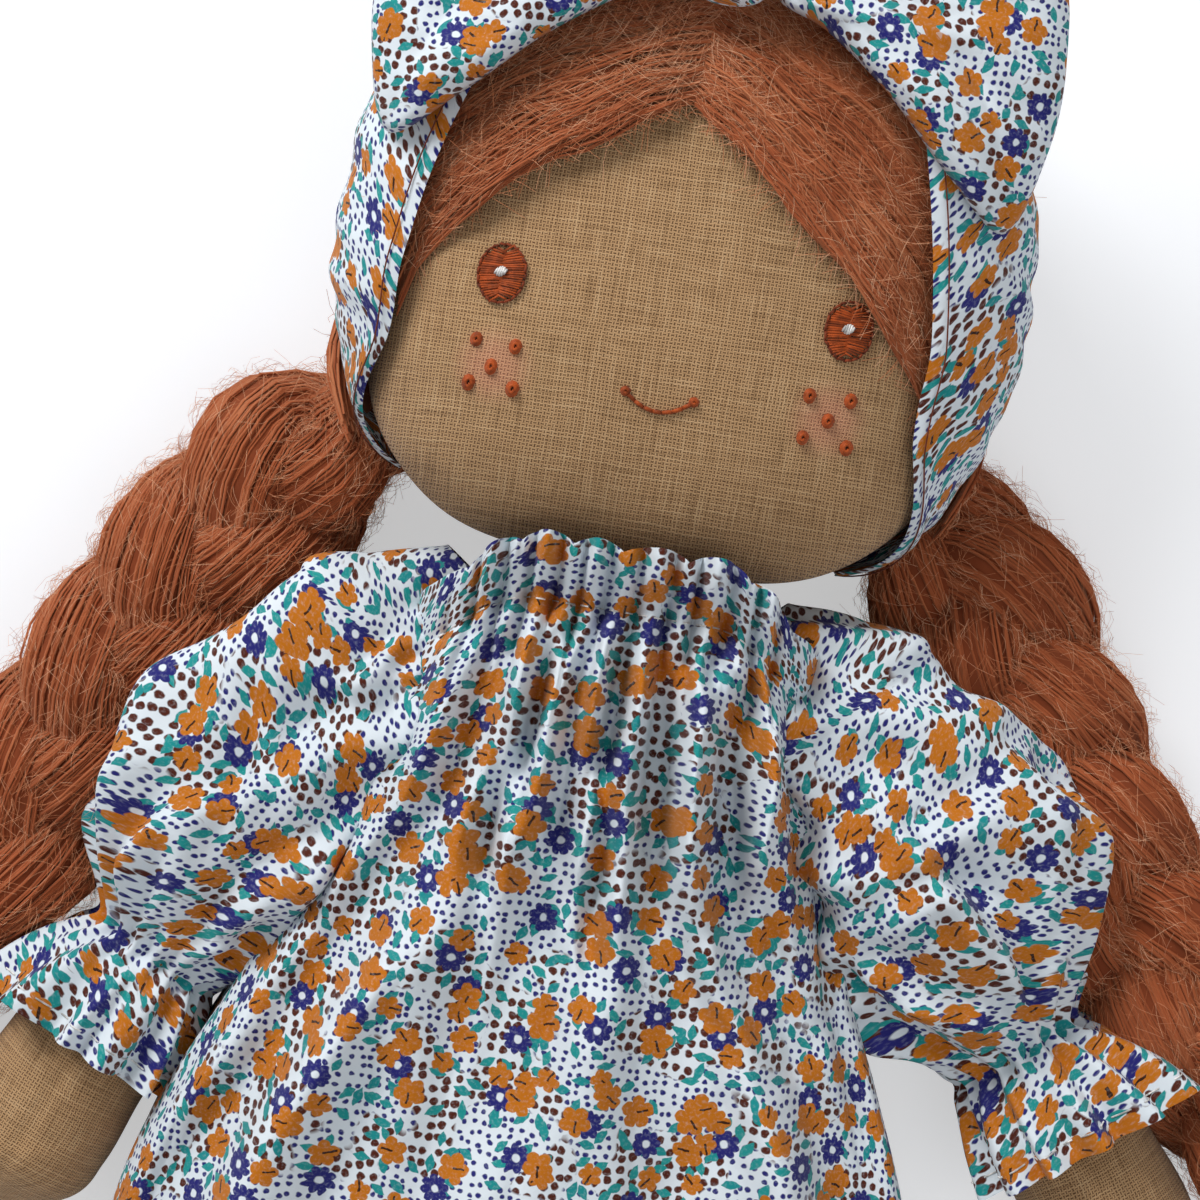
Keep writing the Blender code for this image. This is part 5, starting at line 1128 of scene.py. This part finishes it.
class RAGDOLL_OT_braid_ends(bpy.types.Operator):
    """The printed tie round each braid's end, and the tassel of loose yarn that spreads past it."""

    bl_idname = "rag_doll.braid_ends"
    bl_label = "Ties and tassels"

    def execute(self, context):
        length = context.scene.rag_doll_yarn.braid_length
        up = np.array([0, 0, 1.0])
        turns = np.linspace(0, full_turn, 80, endpoint=False)
        for side, word in sides:
            middle, outward, onward = braid_frame(side, np.array([length]), length)
            share = np.linspace(0, 1, 18)[:, None]
            radius = 0.0098 * (1 - 0.20 * (2 * share - 1) ** 2) * (1 + 0.03 * np.cos(11 * turns))
            ring = np.cos(turns)[:, None] * outward[0] + np.sin(turns)[:, None] * up
            points = middle[0] + onward[0] * (0.0003 + 0.007 * share[..., None]) + radius[..., None] * ring
            points[..., 2] += 0.0102
            piece = make_surface(word + "_tie_cloth", points, cloth_uv(points, True), True)
            finish_piece(piece, "printed_cotton_lawn", word + "_braid", [word + "_braid_tie"])
            picker = np.random.default_rng(90 + side)
            each = (260, 1)
            angle, away = picker.uniform(0, full_turn, each), np.sqrt(picker.uniform(0, 1, each))
            t = np.linspace(0, 1, 14)[None]
            spread = (0.66 + 0.34 * smooth_step(t, 0, 0.8)) * 0.0125 * away * np.cos(angle)
            spread = spread + 0.0006 * np.sin(full_turn * (3 * t + picker.uniform(0, 1, each)))
            height = (0.92 - 0.50 * t) * 0.0092 * (1 + away * np.sin(angle)) + 0.0006
            reach = (0.002 + t * 0.033) * picker.uniform(0.85, 1.0, each)
            paths = middle[0] + reach[..., None] * onward[0]
            paths = paths + spread[..., None] * outward[0] + height[..., None] * up
            piece = make_strands(word + "_tassel_yarn", [(paths, 0.00040)])
            finish_piece(piece, "brushed_wool_yarn", word + "_braid", [word + "_tassel"])
        return {"FINISHED"}


# Arms: share of the length, of the half width, and of the shoulder's height
arm_table = [
    (0.00, 0.72, 1.00), (0.10, 0.74, 0.95), (0.28, 0.92, 0.88), (0.45, 0.88, 0.86), (0.56, 0.79, 0.86),
    (0.67, 0.95, 0.86), (0.75, 0.99, 0.84), (0.86, 1.04, 0.74), (0.94, 0.92, 0.73), (0.985, 0.55, 0.73),
]
arm_angles = {-1: (37, 21), 1: (47, 35)}
arm_length, arm_half_width, shoulder_radius = 0.132, 0.0145, 0.0125
cuff_distance = 0.56 * arm_length


def arm_path(side, distance):
    """Middle and outward direction of an arm at distances from the shoulder: its heading turns evenly."""
    centre = joint_place(f"{dict(sides)[side]}_shoulder")
    start, end = (math.radians(angle) for angle in arm_angles[side])
    steps = np.linspace(0, arm_length + 0.012, 60)
    angle = start + (end - start) * smooth_step(steps, 0, steps[-1])
    track_x = np.concatenate([[0], np.cumsum(np.sin(angle[:-1]) * steps[1])])
    track_y = np.concatenate([[0], np.cumsum(-np.cos(angle[:-1]) * steps[1])])
    at, before = np.maximum(distance, 0), np.minimum(distance, 0)
    x = centre[0] + side * (np.interp(at, steps, track_x) + before * math.sin(start))
    y = centre[1] + np.interp(at, steps, track_y) - before * math.cos(start)
    heading = np.interp(at, steps, angle)
    z = read_table(arm_table, np.clip(distance / arm_length, 0, 1))[:, 1] * centre[2]
    outward = np.stack([side * np.cos(heading), np.sin(heading), np.zeros_like(heading)], axis=-1)
    return np.stack([x, y, z], axis=-1), outward


def arm_rings(middle, outward, reach, turns, least):
    """Rings of points about an arm's line at a reach from it, kept above the least height."""
    points = middle[:, None] + outward[:, None] * (reach * np.cos(turns))[..., None]
    points[..., 2] = np.maximum(points[..., 2] + reach * np.sin(turns), least)
    return points


def arm_radius(distance):
    """Half width of the arm at distances from the shoulder."""
    return read_table(arm_table, np.clip(distance / arm_length, 0, 1))[:, 0] * arm_half_width


class RAGDOLL_OT_arms(bpy.types.Operator):
    """Stuffed linen arms with mitten hands: rings along a bending line, with a seam and its stitches on top."""

    bl_idname = "rag_doll.arms"
    bl_label = "Arms"

    def execute(self, context):
        turns = np.linspace(0, full_turn, 72, endpoint=False)
        lead = -shoulder_radius * np.cos(np.linspace(0.1, quarter, 12))
        whole = arm_length * 1.004
        along = whole - whole * (1 - np.linspace(0, 1, 130)[1:]) ** 1.25
        distance = np.concatenate([lead, along])
        tip = np.clip((along - 0.116) / (whole - 0.116), 0, 1)
        body = arm_radius(along) * np.sqrt(1 - tip**2).clip(0.02)
        radius = np.concatenate([np.sqrt(shoulder_radius**2 - lead**2), body])
        for side, word in sides:
            middle, outward = arm_path(side, distance)
            seam = 1 - 0.05 * np.exp(-(((turns - quarter) / 0.07) ** 2))
            pucker = 0.00022 * drift(distance[:, None] * 55 + turns * 0.5, 12) * swelling(turns, 90, 40)
            reach = radius[:, None] * seam + pucker * (radius[:, None] / arm_half_width)
            points = arm_rings(middle, outward, reach, turns, 0.0001)
            piece = make_surface(word + "_arm", points, cloth_uv(points, True), True, True)
            replaced = [word + "_arm_linen", word + "_arm_stuffing"]
            finish_piece(piece, "plain_woven_limb_linen", word + "_arm", replaced)
            line = points[12:-6, 18] + outward[12:-6] * 0.0012
            normal = np.broadcast_to([0, 0, 1.0], line.shape)
            stitches = running_stitches(line, normal, 3, 1)
            piece = make_strands(word + "_arm_seam", [(stitches, 0.00014)], 4)
            finish_piece(piece, "dark_embroidery_thread", word + "_arm")
        return {"FINISHED"}


# Sleeves: share of the way to the cuff, puff to the outside, puff to the top
sleeve_table = [
    (-0.26, 0.10, 0.00), (-0.18, 0.45, 0.12), (-0.04, 0.84, 0.40), (0.20, 1.00, 0.85), (0.48, 1.00, 1.00),
    (0.72, 0.72, 0.78), (0.88, 0.32, 0.34), (1.00, 0.00, 0.00), (1.10, 0.22, 0.16), (1.28, 0.44, 0.36),
]


class RAGDOLL_OT_sleeves(bpy.types.Operator):
    """Puffed sleeves: wide over the upper arm, drawn in at the cuff by an elastic, with a waved ruffle past it.

    The puff is a swelling to the outside and the top; gathers are waves round the arm that run together into folds.
    """

    bl_idname = "rag_doll.sleeves"
    bl_label = "Sleeves"

    def execute(self, context):
        cotton = context.scene.rag_doll_cotton
        shares = np.concatenate([np.linspace(-0.26, 0.90, 84), np.linspace(0.91, 1.06, 18)])
        past = cuff_distance * 1.06 + (cotton.ruffle_below - 0.06 * cuff_distance) * np.linspace(0.03, 1, 34)
        distance = np.concatenate([cuff_distance * shares, past])
        turns = np.linspace(0, full_turn, 250, endpoint=False)
        puffs = read_table(sleeve_table, distance / cuff_distance)
        near = smooth_step(distance, -0.029, 0) * (1 - smooth_step(distance, 0, 0.0145))
        base = np.maximum(arm_radius(distance), shoulder_radius * near) + 0.0026
        up_way = np.array([0, 0, 1.0])
        before_cuff = (cuff_distance - distance)[:, None]
        beyond = np.maximum(-before_cuff, 0) / cotton.ruffle_below
        for side, word in sides:
            middle, outward = arm_path(side, distance)
            up = swelling(turns, 88, 46) + 0.5 * swelling(turns, 145, 40)
            puff = puffs[:, :1] * (0.0185 + 0.0015 * side) * swelling(turns, 34, 30) + puffs[:, 1:] * 0.012 * up
            wander = 0.9 * drift(turns / full_turn * 2, 5 + side) + 0.5 * drift(before_cuff * 9, 100 + side)
            gathers = np.cos(cotton.sleeve_pleats * turns + wander)
            height = 0.0013 * gathers * np.exp(-np.abs(before_cuff) / 0.010)
            spreading = smooth_step(before_cuff, 0.002, 0.012) * np.exp(-before_cuff / 0.030)
            height = height + 0.0010 * np.cos(9 * turns + 1.6 * wander) * spreading
            u, v = turns[None] * 0.026, before_cuff
            shape = smooth_step(before_cuff, 0.0, 0.012)
            height = height + shape * (
                creases(u, v, 200 + side, 34, (0.0, 0.10, 0.0, 0.045), 0.022, 0.0032, 0.0034, quarter, 0.25)
                + creases(u, v, 210 + side, 22, (0.0, 0.10, 0.02, 0.085), 0.020, 0.0048, 0.0038, 1.1 * side, 0.55)
                + creases(u, v, 220 + side, 20, (0.03, 0.11, 0.065, 0.10), 0.018, 0.0034, 0.0030, quarter, 0.35)
            )
            waves = np.cos(13 * turns + 1.4 * drift(turns / full_turn * 2, 15 + side) + 0.9 * beyond)
            height = height + 0.0030 * waves * beyond**0.8
            pinch = 0.0014 * np.exp(-((before_cuff / 0.0020) ** 2))
            reach = base[:, None] + puff + height - pinch
            points = arm_rings(middle, outward, reach, turns, 0.0004)
            smooth = (base[:, None] + puff)[..., None]
            ring = outward[:, None] * np.cos(turns)[:, None] + up_way * np.sin(turns)[:, None]
            level = middle[:, None] + smooth * ring
            piece = make_surface(word + "_sleeve_cloth", points, cloth_uv(level, True, side * 0.5), True)
            replaced = [word + "_sleeve", word + "_cuff_elastic"]
            finish_piece(piece, "printed_cotton_lawn", None, replaced)
            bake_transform(piece)
            hem_row = len(points) - 9
            stitches = running_stitches(points[hem_row], unit(points[hem_row] - middle[hem_row]), 5, 2)
            piece = make_strands(word + "_sleeve_hem_stitches", [(stitches, 0.00017)], 4)
            finish_piece(piece, "white_cotton_thread", word + "_arm")
        return {"FINISHED"}


# The smock's half width: at shares of the way to the cuff, then to the hem
yoke_table = [(0.00, 0.00), (0.11, 0.02), (0.27, 0.11), (0.50, 0.28), (0.74, 0.52), (0.88, 0.76), (1.00, 1.00)]
skirt_table = [(0.00, 0.00), (0.20, 0.36), (0.55, 0.68), (1.00, 1.00)]
cuff_depth, cuff_half_width, neck_half_width, hem_half_width = 0.0872, 0.0600, 0.039, 0.088
front_width, arch_power, side_height = 0.19, 3.4, 0.0015


def smock_half_width(height):
    """Half width of the smock at heights from the neckline."""
    yoke = read_table(yoke_table, -height / cuff_depth)[:, 0]
    skirt = read_table(skirt_table, (-height - cuff_depth) / (dress_length - cuff_depth))[:, 0]
    return neck_half_width + (cuff_half_width - neck_half_width) * yoke + (hem_half_width - cuff_half_width) * skirt


# The smock's main folds: place at the neck, how far it runs outward, depth, width, where it begins and ends
main_folds = [
    (-0.0300, -0.0200, 0.0050, 0.0050, 0.000, 0.120), (-0.0180, -0.0060, 0.0032, 0.0032, 0.000, 0.040),
    (-0.0075, -0.0035, 0.0040, 0.0026, 0.000, 0.034), (0.0015, 0.0040, 0.0036, 0.0028, 0.000, 0.055),
    (0.0120, 0.0120, 0.0034, 0.0032, 0.000, 0.048), (0.0310, 0.0170, 0.0055, 0.0048, 0.002, 0.130),
    (-0.0020, -0.0100, 0.0030, 0.0055, 0.045, 0.140), (0.0180, 0.0060, 0.0028, 0.0060, 0.060, 0.150),
]


class RAGDOLL_OT_smock(bpy.types.Operator):
    """The smock: gathered in fine pleats at the neck that run together into fewer, wider folds down the skirt.

    The front is an arch from side to side. Its folds are waves with sharp hollows, creases and a few long
    valleys, none deeper than the room over the torso.
    """

    bl_idname = "rag_doll.smock"
    bl_label = "Smock"

    def execute(self, context):
        cotton = context.scene.rag_doll_cotton
        heights = 0.002 - (dress_length + 0.002) * np.linspace(0, 1, 190) ** 1.4
        rough = np.linspace(0, math.pi, 2000)
        arch = 0.05 * np.column_stack([rounded(np.cos(rough), arch_power), rounded(np.sin(rough), arch_power)])
        length = np.concatenate([[0], np.cumsum(np.hypot(*np.diff(arch, axis=0).T))])
        across = np.linspace(0, 1, 360)
        angle = math.pi - np.interp(across * length[-1], length, rough)
        down = np.clip(-heights / dress_length, 0, 1)
        elastic = -cotton.ruffle_above + 0.002
        gap = elastic - heights
        below, above = np.maximum(gap, 0)[:, None], np.maximum(-gap, 0)[:, None]
        top = 0.0508 + 0.0012 * down + 0.0068 * smooth_step(heights, elastic, 0.002)
        wander = 0.5 * drift(across * 2.3, 41) + 0.25 * drift(below * 7 + across * 2, 43)
        pleats, half_pleats, folds = (
            2 * np.abs(np.cos(math.pi * n * across + k * wander / 2)) ** 0.8 - 1
            for n, k in ((cotton.neck_pleats, 3.0), (13, 2.0), (7, 1.4))
        )
        middle_part = 1 - smooth_step(np.abs(across - 0.5), 0.17, 0.28)
        fold = 0.0036 * pleats * np.exp(-below / 0.015 - above / 0.010) * (0.1 + 0.9 * middle_part)
        fold = fold + 0.0030 * smooth_step(below, 0.002, 0.020) * np.exp(-below / 0.050) * half_pleats
        fold = fold + cotton.fold_depth * smooth_step(below, 0.01, 0.14) * folds
        fold = fold + smooth_step(above, 0, 0.008) * (0.0022 * pleats + 0.0022 * half_pleats) * middle_part
        u, v = (across - 0.5)[None] * front_width, below
        hanging = creases(u, v, 300, 34, (-0.07, 0.07, 0.0, 0.045), 0.034, 0.0030, 0.0042, quarter, 0.10)
        hanging = hanging + creases(u, v, 310, 22, (-0.07, 0.07, 0.03, 0.16), 0.050, 0.0060, 0.0046, quarter, 0.14)
        fold = fold + hanging * smooth_step(below, 0.0005, 0.006)
        for start, drift_out, depth, width, high, low in main_folds:
            off = (across[None] - 0.5) * front_width - (start + drift_out * smooth_step(below, 0.0, 0.13))
            off = off + 0.0012 * drift(below * 9, int(1000 + 1000 * start))
            valley = np.exp(-((off / width) ** 2)) - 0.55 * np.exp(-(((np.abs(off) - 2.1 * width) / width) ** 2))
            faded = smooth_step(below, high, high + 0.012) * (1 - smooth_step(below, low, low * 1.5))
            fold = fold - 1.5 * depth * valley * faded
        fold = fold - 0.0012 * np.exp(-((gap / 0.0015) ** 2))[:, None]
        room = 0.0056 + 0.0030 * smooth_step(above, 0, 0.004)
        fold = np.where(fold < 0, -room * np.tanh(-fold / room), fold) + 0.0022
        sine, cosine = rounded(np.sin(angle), arch_power), rounded(np.cos(angle), arch_power)
        x = (smock_half_width(heights)[:, None] + 0.15 * fold) * cosine
        z = side_height + (top[:, None] - side_height + fold) * sine
        y = neckline + heights[:, None] + 0.0009 * smooth_step(above, 0.004, 0.0115) * half_pleats
        y = y - 0.0130 * smooth_step(np.abs(across - 0.5), 0.12, 0.30) * smooth_step(heights, -0.06, 0)[:, None]
        points = np.stack([x, y, z], axis=-1)
        smooth_z = side_height + (top[:, None] - side_height) * sine
        level = [smock_half_width(heights)[:, None] * cosine, y, smooth_z]
        piece = make_surface("smock_front_cloth", points, cloth_uv(np.stack(level, axis=-1)))
        replaced = ["dress_front_panel", "neckline_elastic"]
        finish_piece(piece, "printed_cotton_lawn", None, replaced)
        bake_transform(piece)
        row = points[int(np.argmin(np.abs(gap))), 54:-54]
        stitches = running_stitches(row, np.broadcast_to([0, 0, 1.0], row.shape), 5, 2)
        piece = make_strands("neckline_stitches", [(stitches, 0.00016)], 4)
        finish_piece(piece, "white_cotton_thread", "torso")
        across = np.linspace(-1, 1, 60)[None]
        x = smock_half_width(heights)[:, None] * across
        corner_drop = 0.0160 * smooth_step(np.abs(across), 0.4, 0.95)
        y = neckline + heights[:, None] - corner_drop * smooth_step(heights, -0.06, 0)[:, None]
        points = np.stack([x, y, np.full_like(x, 0.0003)], axis=-1)
        piece = make_surface("smock_back_cloth", points, cloth_uv(points, False, 0.9))
        finish_piece(piece, "printed_cotton_lawn", None, ["dress_back_panel"])
        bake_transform(piece)
        return {"FINISHED"}


# Torso: share of the way down, of the half width, of the half thickness
torso_table = [
    (0.00, 0.34, 0.30), (0.03, 0.50, 0.52), (0.09, 0.70, 0.74), (0.18, 0.75, 0.90), (0.32, 0.86, 0.96),
    (0.50, 0.98, 0.98), (0.75, 0.99, 0.96), (0.83, 0.98, 0.88), (0.90, 0.93, 0.58), (0.97, 0.84, 0.18),
    (1.00, 0.76, 0.065),
]


class RAGDOLL_OT_torso(bpy.types.Operator):
    """The stuffed linen torso, the ball of the neck, and the piped seam that the legs hang from."""

    bl_idname = "rag_doll.torso"
    bl_label = "Torso"

    def execute(self, context):
        turns = np.linspace(0, full_turn, 64, endpoint=False)
        centre, half = box_of("torso_linen")
        share = np.linspace(0, 1, 70)
        sizes = read_table(torso_table, share)
        half_width, half_thick, middle_height, power = 0.036, 0.0225, 0.024, 2.4
        x = sizes[:, :1] * half_width * rounded(np.cos(turns), power)
        z = middle_height + sizes[:, 1:] * half_thick * rounded(np.sin(turns), power)
        y = (centre[1] + half[1] - 2 * half[1] * share)[:, None] + 0 * x
        points = np.stack([x, y, z], axis=-1)
        piece = make_surface("torso_body", points, cloth_uv(points, True), True, True)
        finish_piece(piece, "plain_woven_limb_linen", "torso", ["torso_linen", "torso_stuffing"])
        centre, half = box_of("neck")
        tips = np.linspace(0.05, math.pi - 0.05, 40)[:, None]
        ring = [np.sin(tips) * np.cos(turns), np.sin(tips) * np.sin(turns), np.cos(tips) + 0 * turns]
        points = centre + half[0] * np.stack(ring, axis=-1)
        piece = make_surface("neck_ball", points, cloth_uv(points, True), True, True)
        finish_piece(piece, "plain_woven_limb_linen", "neck", ["neck"])
        centre, half = box_of("hip_seam")
        x = np.linspace(-1, 1, 110)[:, None] * half[0] + 0 * turns
        ribs = half[1] * (0.97 + 0.03 * np.cos(x / 0.0016 * full_turn))
        points = np.stack([x, centre[1] + ribs * np.cos(turns), centre[2] + ribs * np.sin(turns)], axis=-1)
        piece = make_surface("hip_piping", points, cloth_uv(points, True), True, True)
        finish_piece(piece, "plain_woven_limb_linen", "hips", ["hip_seam"])
        return {"FINISHED"}


# Legs: share of the way to the ankle, of the half width, of the half thickness
leg_table = [
    (0.00, 1.00, 0.075), (0.04, 1.00, 0.36), (0.12, 1.00, 0.84), (0.30, 1.00, 0.98), (0.60, 0.90, 0.90),
    (0.85, 0.80, 0.80), (1.00, 0.80, 0.80),
]
leg_length, leg_half_width, foot_radius, foot_length = 0.176, 0.0175, 0.020, 0.024
foot_turn, leg_splay = math.radians(78), math.radians(4)
whole_leg = leg_length + foot_turn * foot_radius + foot_length


def leg_rings(side, distance, grow, turns):
    """Rings of a leg, or of the shoe on it that stands off by grow: straight down, then up the foot on an arc."""
    bend = np.clip((distance - leg_length) / foot_radius, 0, foot_turn)
    past = np.maximum(distance - leg_length - foot_turn * foot_radius, 0)
    forward = np.minimum(distance, leg_length) + foot_radius * np.sin(bend) + past * math.cos(foot_turn)
    drop = 0.0073 * smooth_step(distance, 0, leg_length)
    rise = foot_radius * (1 - np.cos(bend)) + past * math.sin(foot_turn) - drop
    sine, cosine = math.sin(leg_splay), math.cos(leg_splay)
    top = joint_place(f"{dict(sides)[side]}_leg_spread") + leg_half_width * np.array([-side * sine, cosine, 0])
    middle = np.stack([top[0] + side * forward * sine, top[1] - forward * cosine, top[2] + rise], axis=-1)
    front = np.stack([-side * np.sin(bend) * sine, np.sin(bend) * cosine, np.cos(bend)], axis=-1)
    sizes = read_table(leg_table, distance / leg_length) * leg_half_width
    ends = [np.clip(gap / (leg_half_width + grow), 0, 1) for gap in (whole_leg + grow - distance, distance)]
    toe, hip = (np.sqrt(1 - (1 - end) ** 2) for end in ends)
    swell = 1 + 0.12 * smooth_step(distance, leg_length, whole_leg)
    half_width = ((sizes[:, 0] * swell * hip + grow) * toe).clip(0.0002)[:, None]
    half_thick = ((sizes[:, 1] + grow) * toe).clip(0.0002)[:, None]
    rings = middle[:, None] + np.array([side * cosine, sine, 0.0]) * (half_width * np.cos(turns))[..., None]
    return rings + front[:, None] * (half_thick * np.sin(turns))[..., None]


class RAGDOLL_OT_legs(bpy.types.Operator):
    """Stuffed linen legs that taper to upturned feet, in soft felt shoes with a rolled top edge."""

    bl_idname = "rag_doll.legs"
    bl_label = "Legs and shoes"

    def execute(self, context):
        turns = np.linspace(0, full_turn, 72, endpoint=False)
        for side, word in sides:
            distance = whole_leg * np.concatenate([np.linspace(0.002, 0.1, 24), np.linspace(0.11, 0.998, 100)])
            points = leg_rings(side, distance, 0.0, turns)
            points[..., 2] = np.maximum(points[..., 2], 0.0005)
            piece = make_surface(word + "_leg", points, cloth_uv(points, True), True, True)
            replaced = [word + "_leg_linen", word + "_leg_stuffing"]
            finish_piece(piece, "plain_woven_limb_linen", word + "_leg", replaced)
            distance = whole_leg + 0.0021 - 0.0481 * (1 - np.linspace(0, 0.999, 80)) ** 1.3
            inner = leg_rings(side, distance[:6], 0.0008, turns)[::-1]
            roll = leg_rings(side, distance[:1] - 0.0008, 0.0015, turns)
            points = np.concatenate([inner, roll, leg_rings(side, distance, 0.0021, turns)])
            points[..., 2] = np.maximum(points[..., 2], 0.0)
            piece = make_surface(word + "_felt_shoe", points, cloth_uv(points, True), True, True)
            finish_piece(piece, "pressed_wool_felt", word + "_leg", [word + "_shoe"])
        return {"FINISHED"}


class RAGDOLL_OT_stage(bpy.types.Operator):
    """A pale floor, soft light from above the head, and the camera straight over the chest."""

    bl_idname = "rag_doll.stage"
    bl_label = "Stage"

    def execute(self, context):
        scene = context.scene
        stage = scene.rag_doll_stage
        size = 6.0
        corners = [(-size, -size, 0), (size, -size, 0), (size, size, 0), (-size, size, 0)]
        floor = make_mesh("floor", corners, [[0, 1, 2, 3]])
        material, tree, shader = new_material("pale_paper_floor", 0.95)
        seen = add_node(tree, "LightPath").outputs["Is Camera Ray"]
        tree.links.new(mixed(tree, seen, linear("F4F6F8"), linear("C4C7CC")), shader.inputs["Base Color"])
        tree.links.new(maths(tree, "MULTIPLY", seen, 0.50), shader.inputs["Emission Strength"])
        shader.inputs["Emission Color"].default_value = linear("FFFFFF")
        floor.data.materials.append(material)
        world = bpy.data.worlds.new("soft_room")
        scene.world = world
        world.use_nodes = True
        background = world.node_tree.nodes["Background"]
        background.inputs["Color"].default_value = linear("F6F8FB")
        background.inputs["Strength"].default_value = stage.room_strength
        for name, place, power, width in (
            ("window_light", (-0.75, 0.95, 0.85), stage.key_power, 0.6),
            ("fill_light", (0.7, -0.4, 1.2), stage.key_power * 0.25, 1.2),
        ):
            lamp = bpy.data.lights.new(name, "AREA")
            lamp.energy = power
            lamp.size = width
            holder = bpy.data.objects.new(name, lamp)
            scene.collection.objects.link(holder)
            holder.location = place
            aim = Vector((0, neckline, 0.04)) - Vector(place)
            holder.rotation_euler = aim.to_track_quat("-Z", "Y").to_euler()
        camera = bpy.data.cameras.new("camera")
        camera.lens = 126.0
        camera.sensor_width = 36.0
        holder = bpy.data.objects.new("camera", camera)
        scene.collection.objects.link(holder)
        holder.location = (-0.0045, neckline - 0.0080, stage.camera_height)
        holder.rotation_euler = (0, 0, stage.camera_roll)
        scene.camera = holder
        scene.view_settings.view_transform = "Standard"
        return {"FINISHED"}


operators = (
    RAGDOLL_OT_head, RAGDOLL_OT_eyes, RAGDOLL_OT_freckles, RAGDOLL_OT_mouth, RAGDOLL_OT_front_hair,
    RAGDOLL_OT_back_hair, RAGDOLL_OT_headband, RAGDOLL_OT_bow, RAGDOLL_OT_braids, RAGDOLL_OT_braid_ends,
    RAGDOLL_OT_arms, RAGDOLL_OT_sleeves, RAGDOLL_OT_smock, RAGDOLL_OT_torso, RAGDOLL_OT_legs, RAGDOLL_OT_stage,
)
settings = {
    "rag_doll_linen": RagDollLinen,
    "rag_doll_yarn": RagDollYarn,
    "rag_doll_cotton": RagDollCotton,
    "rag_doll_stage": RagDollStage,
}


class RAGDOLL_PT_panel(bpy.types.Panel):
    """Lists the doll's settings and the operators that build it."""

    bl_idname = "RAGDOLL_PT_panel"
    bl_label = "Rag doll"
    bl_space_type = "VIEW_3D"
    bl_region_type = "UI"
    bl_category = "Rag doll"

    def draw(self, context):
        for key, group in settings.items():
            box = self.layout.box()
            for name in group.__annotations__:
                box.prop(getattr(context.scene, key), name)
        for operator in operators:
            self.layout.operator(operator.bl_idname)


def register():
    """Adds the classes and hangs the settings on the scene."""
    for group in (*settings.values(), *operators, RAGDOLL_PT_panel):
        bpy.utils.register_class(group)
    for key, group in settings.items():
        setattr(bpy.types.Scene, key, bpy.props.PointerProperty(type=group))


def unregister():
    """Takes the settings and the classes away again."""
    for key in settings:
        delattr(bpy.types.Scene, key)
    for group in (RAGDOLL_PT_panel, *operators, *settings.values()):
        bpy.utils.unregister_class(group)


def main():
    """Builds the doll piece by piece."""
    register()
    for operator in operators:
        getattr(bpy.ops.rag_doll, operator.bl_idname.split(".")[1])()


if __name__ == "__main__":
    main()
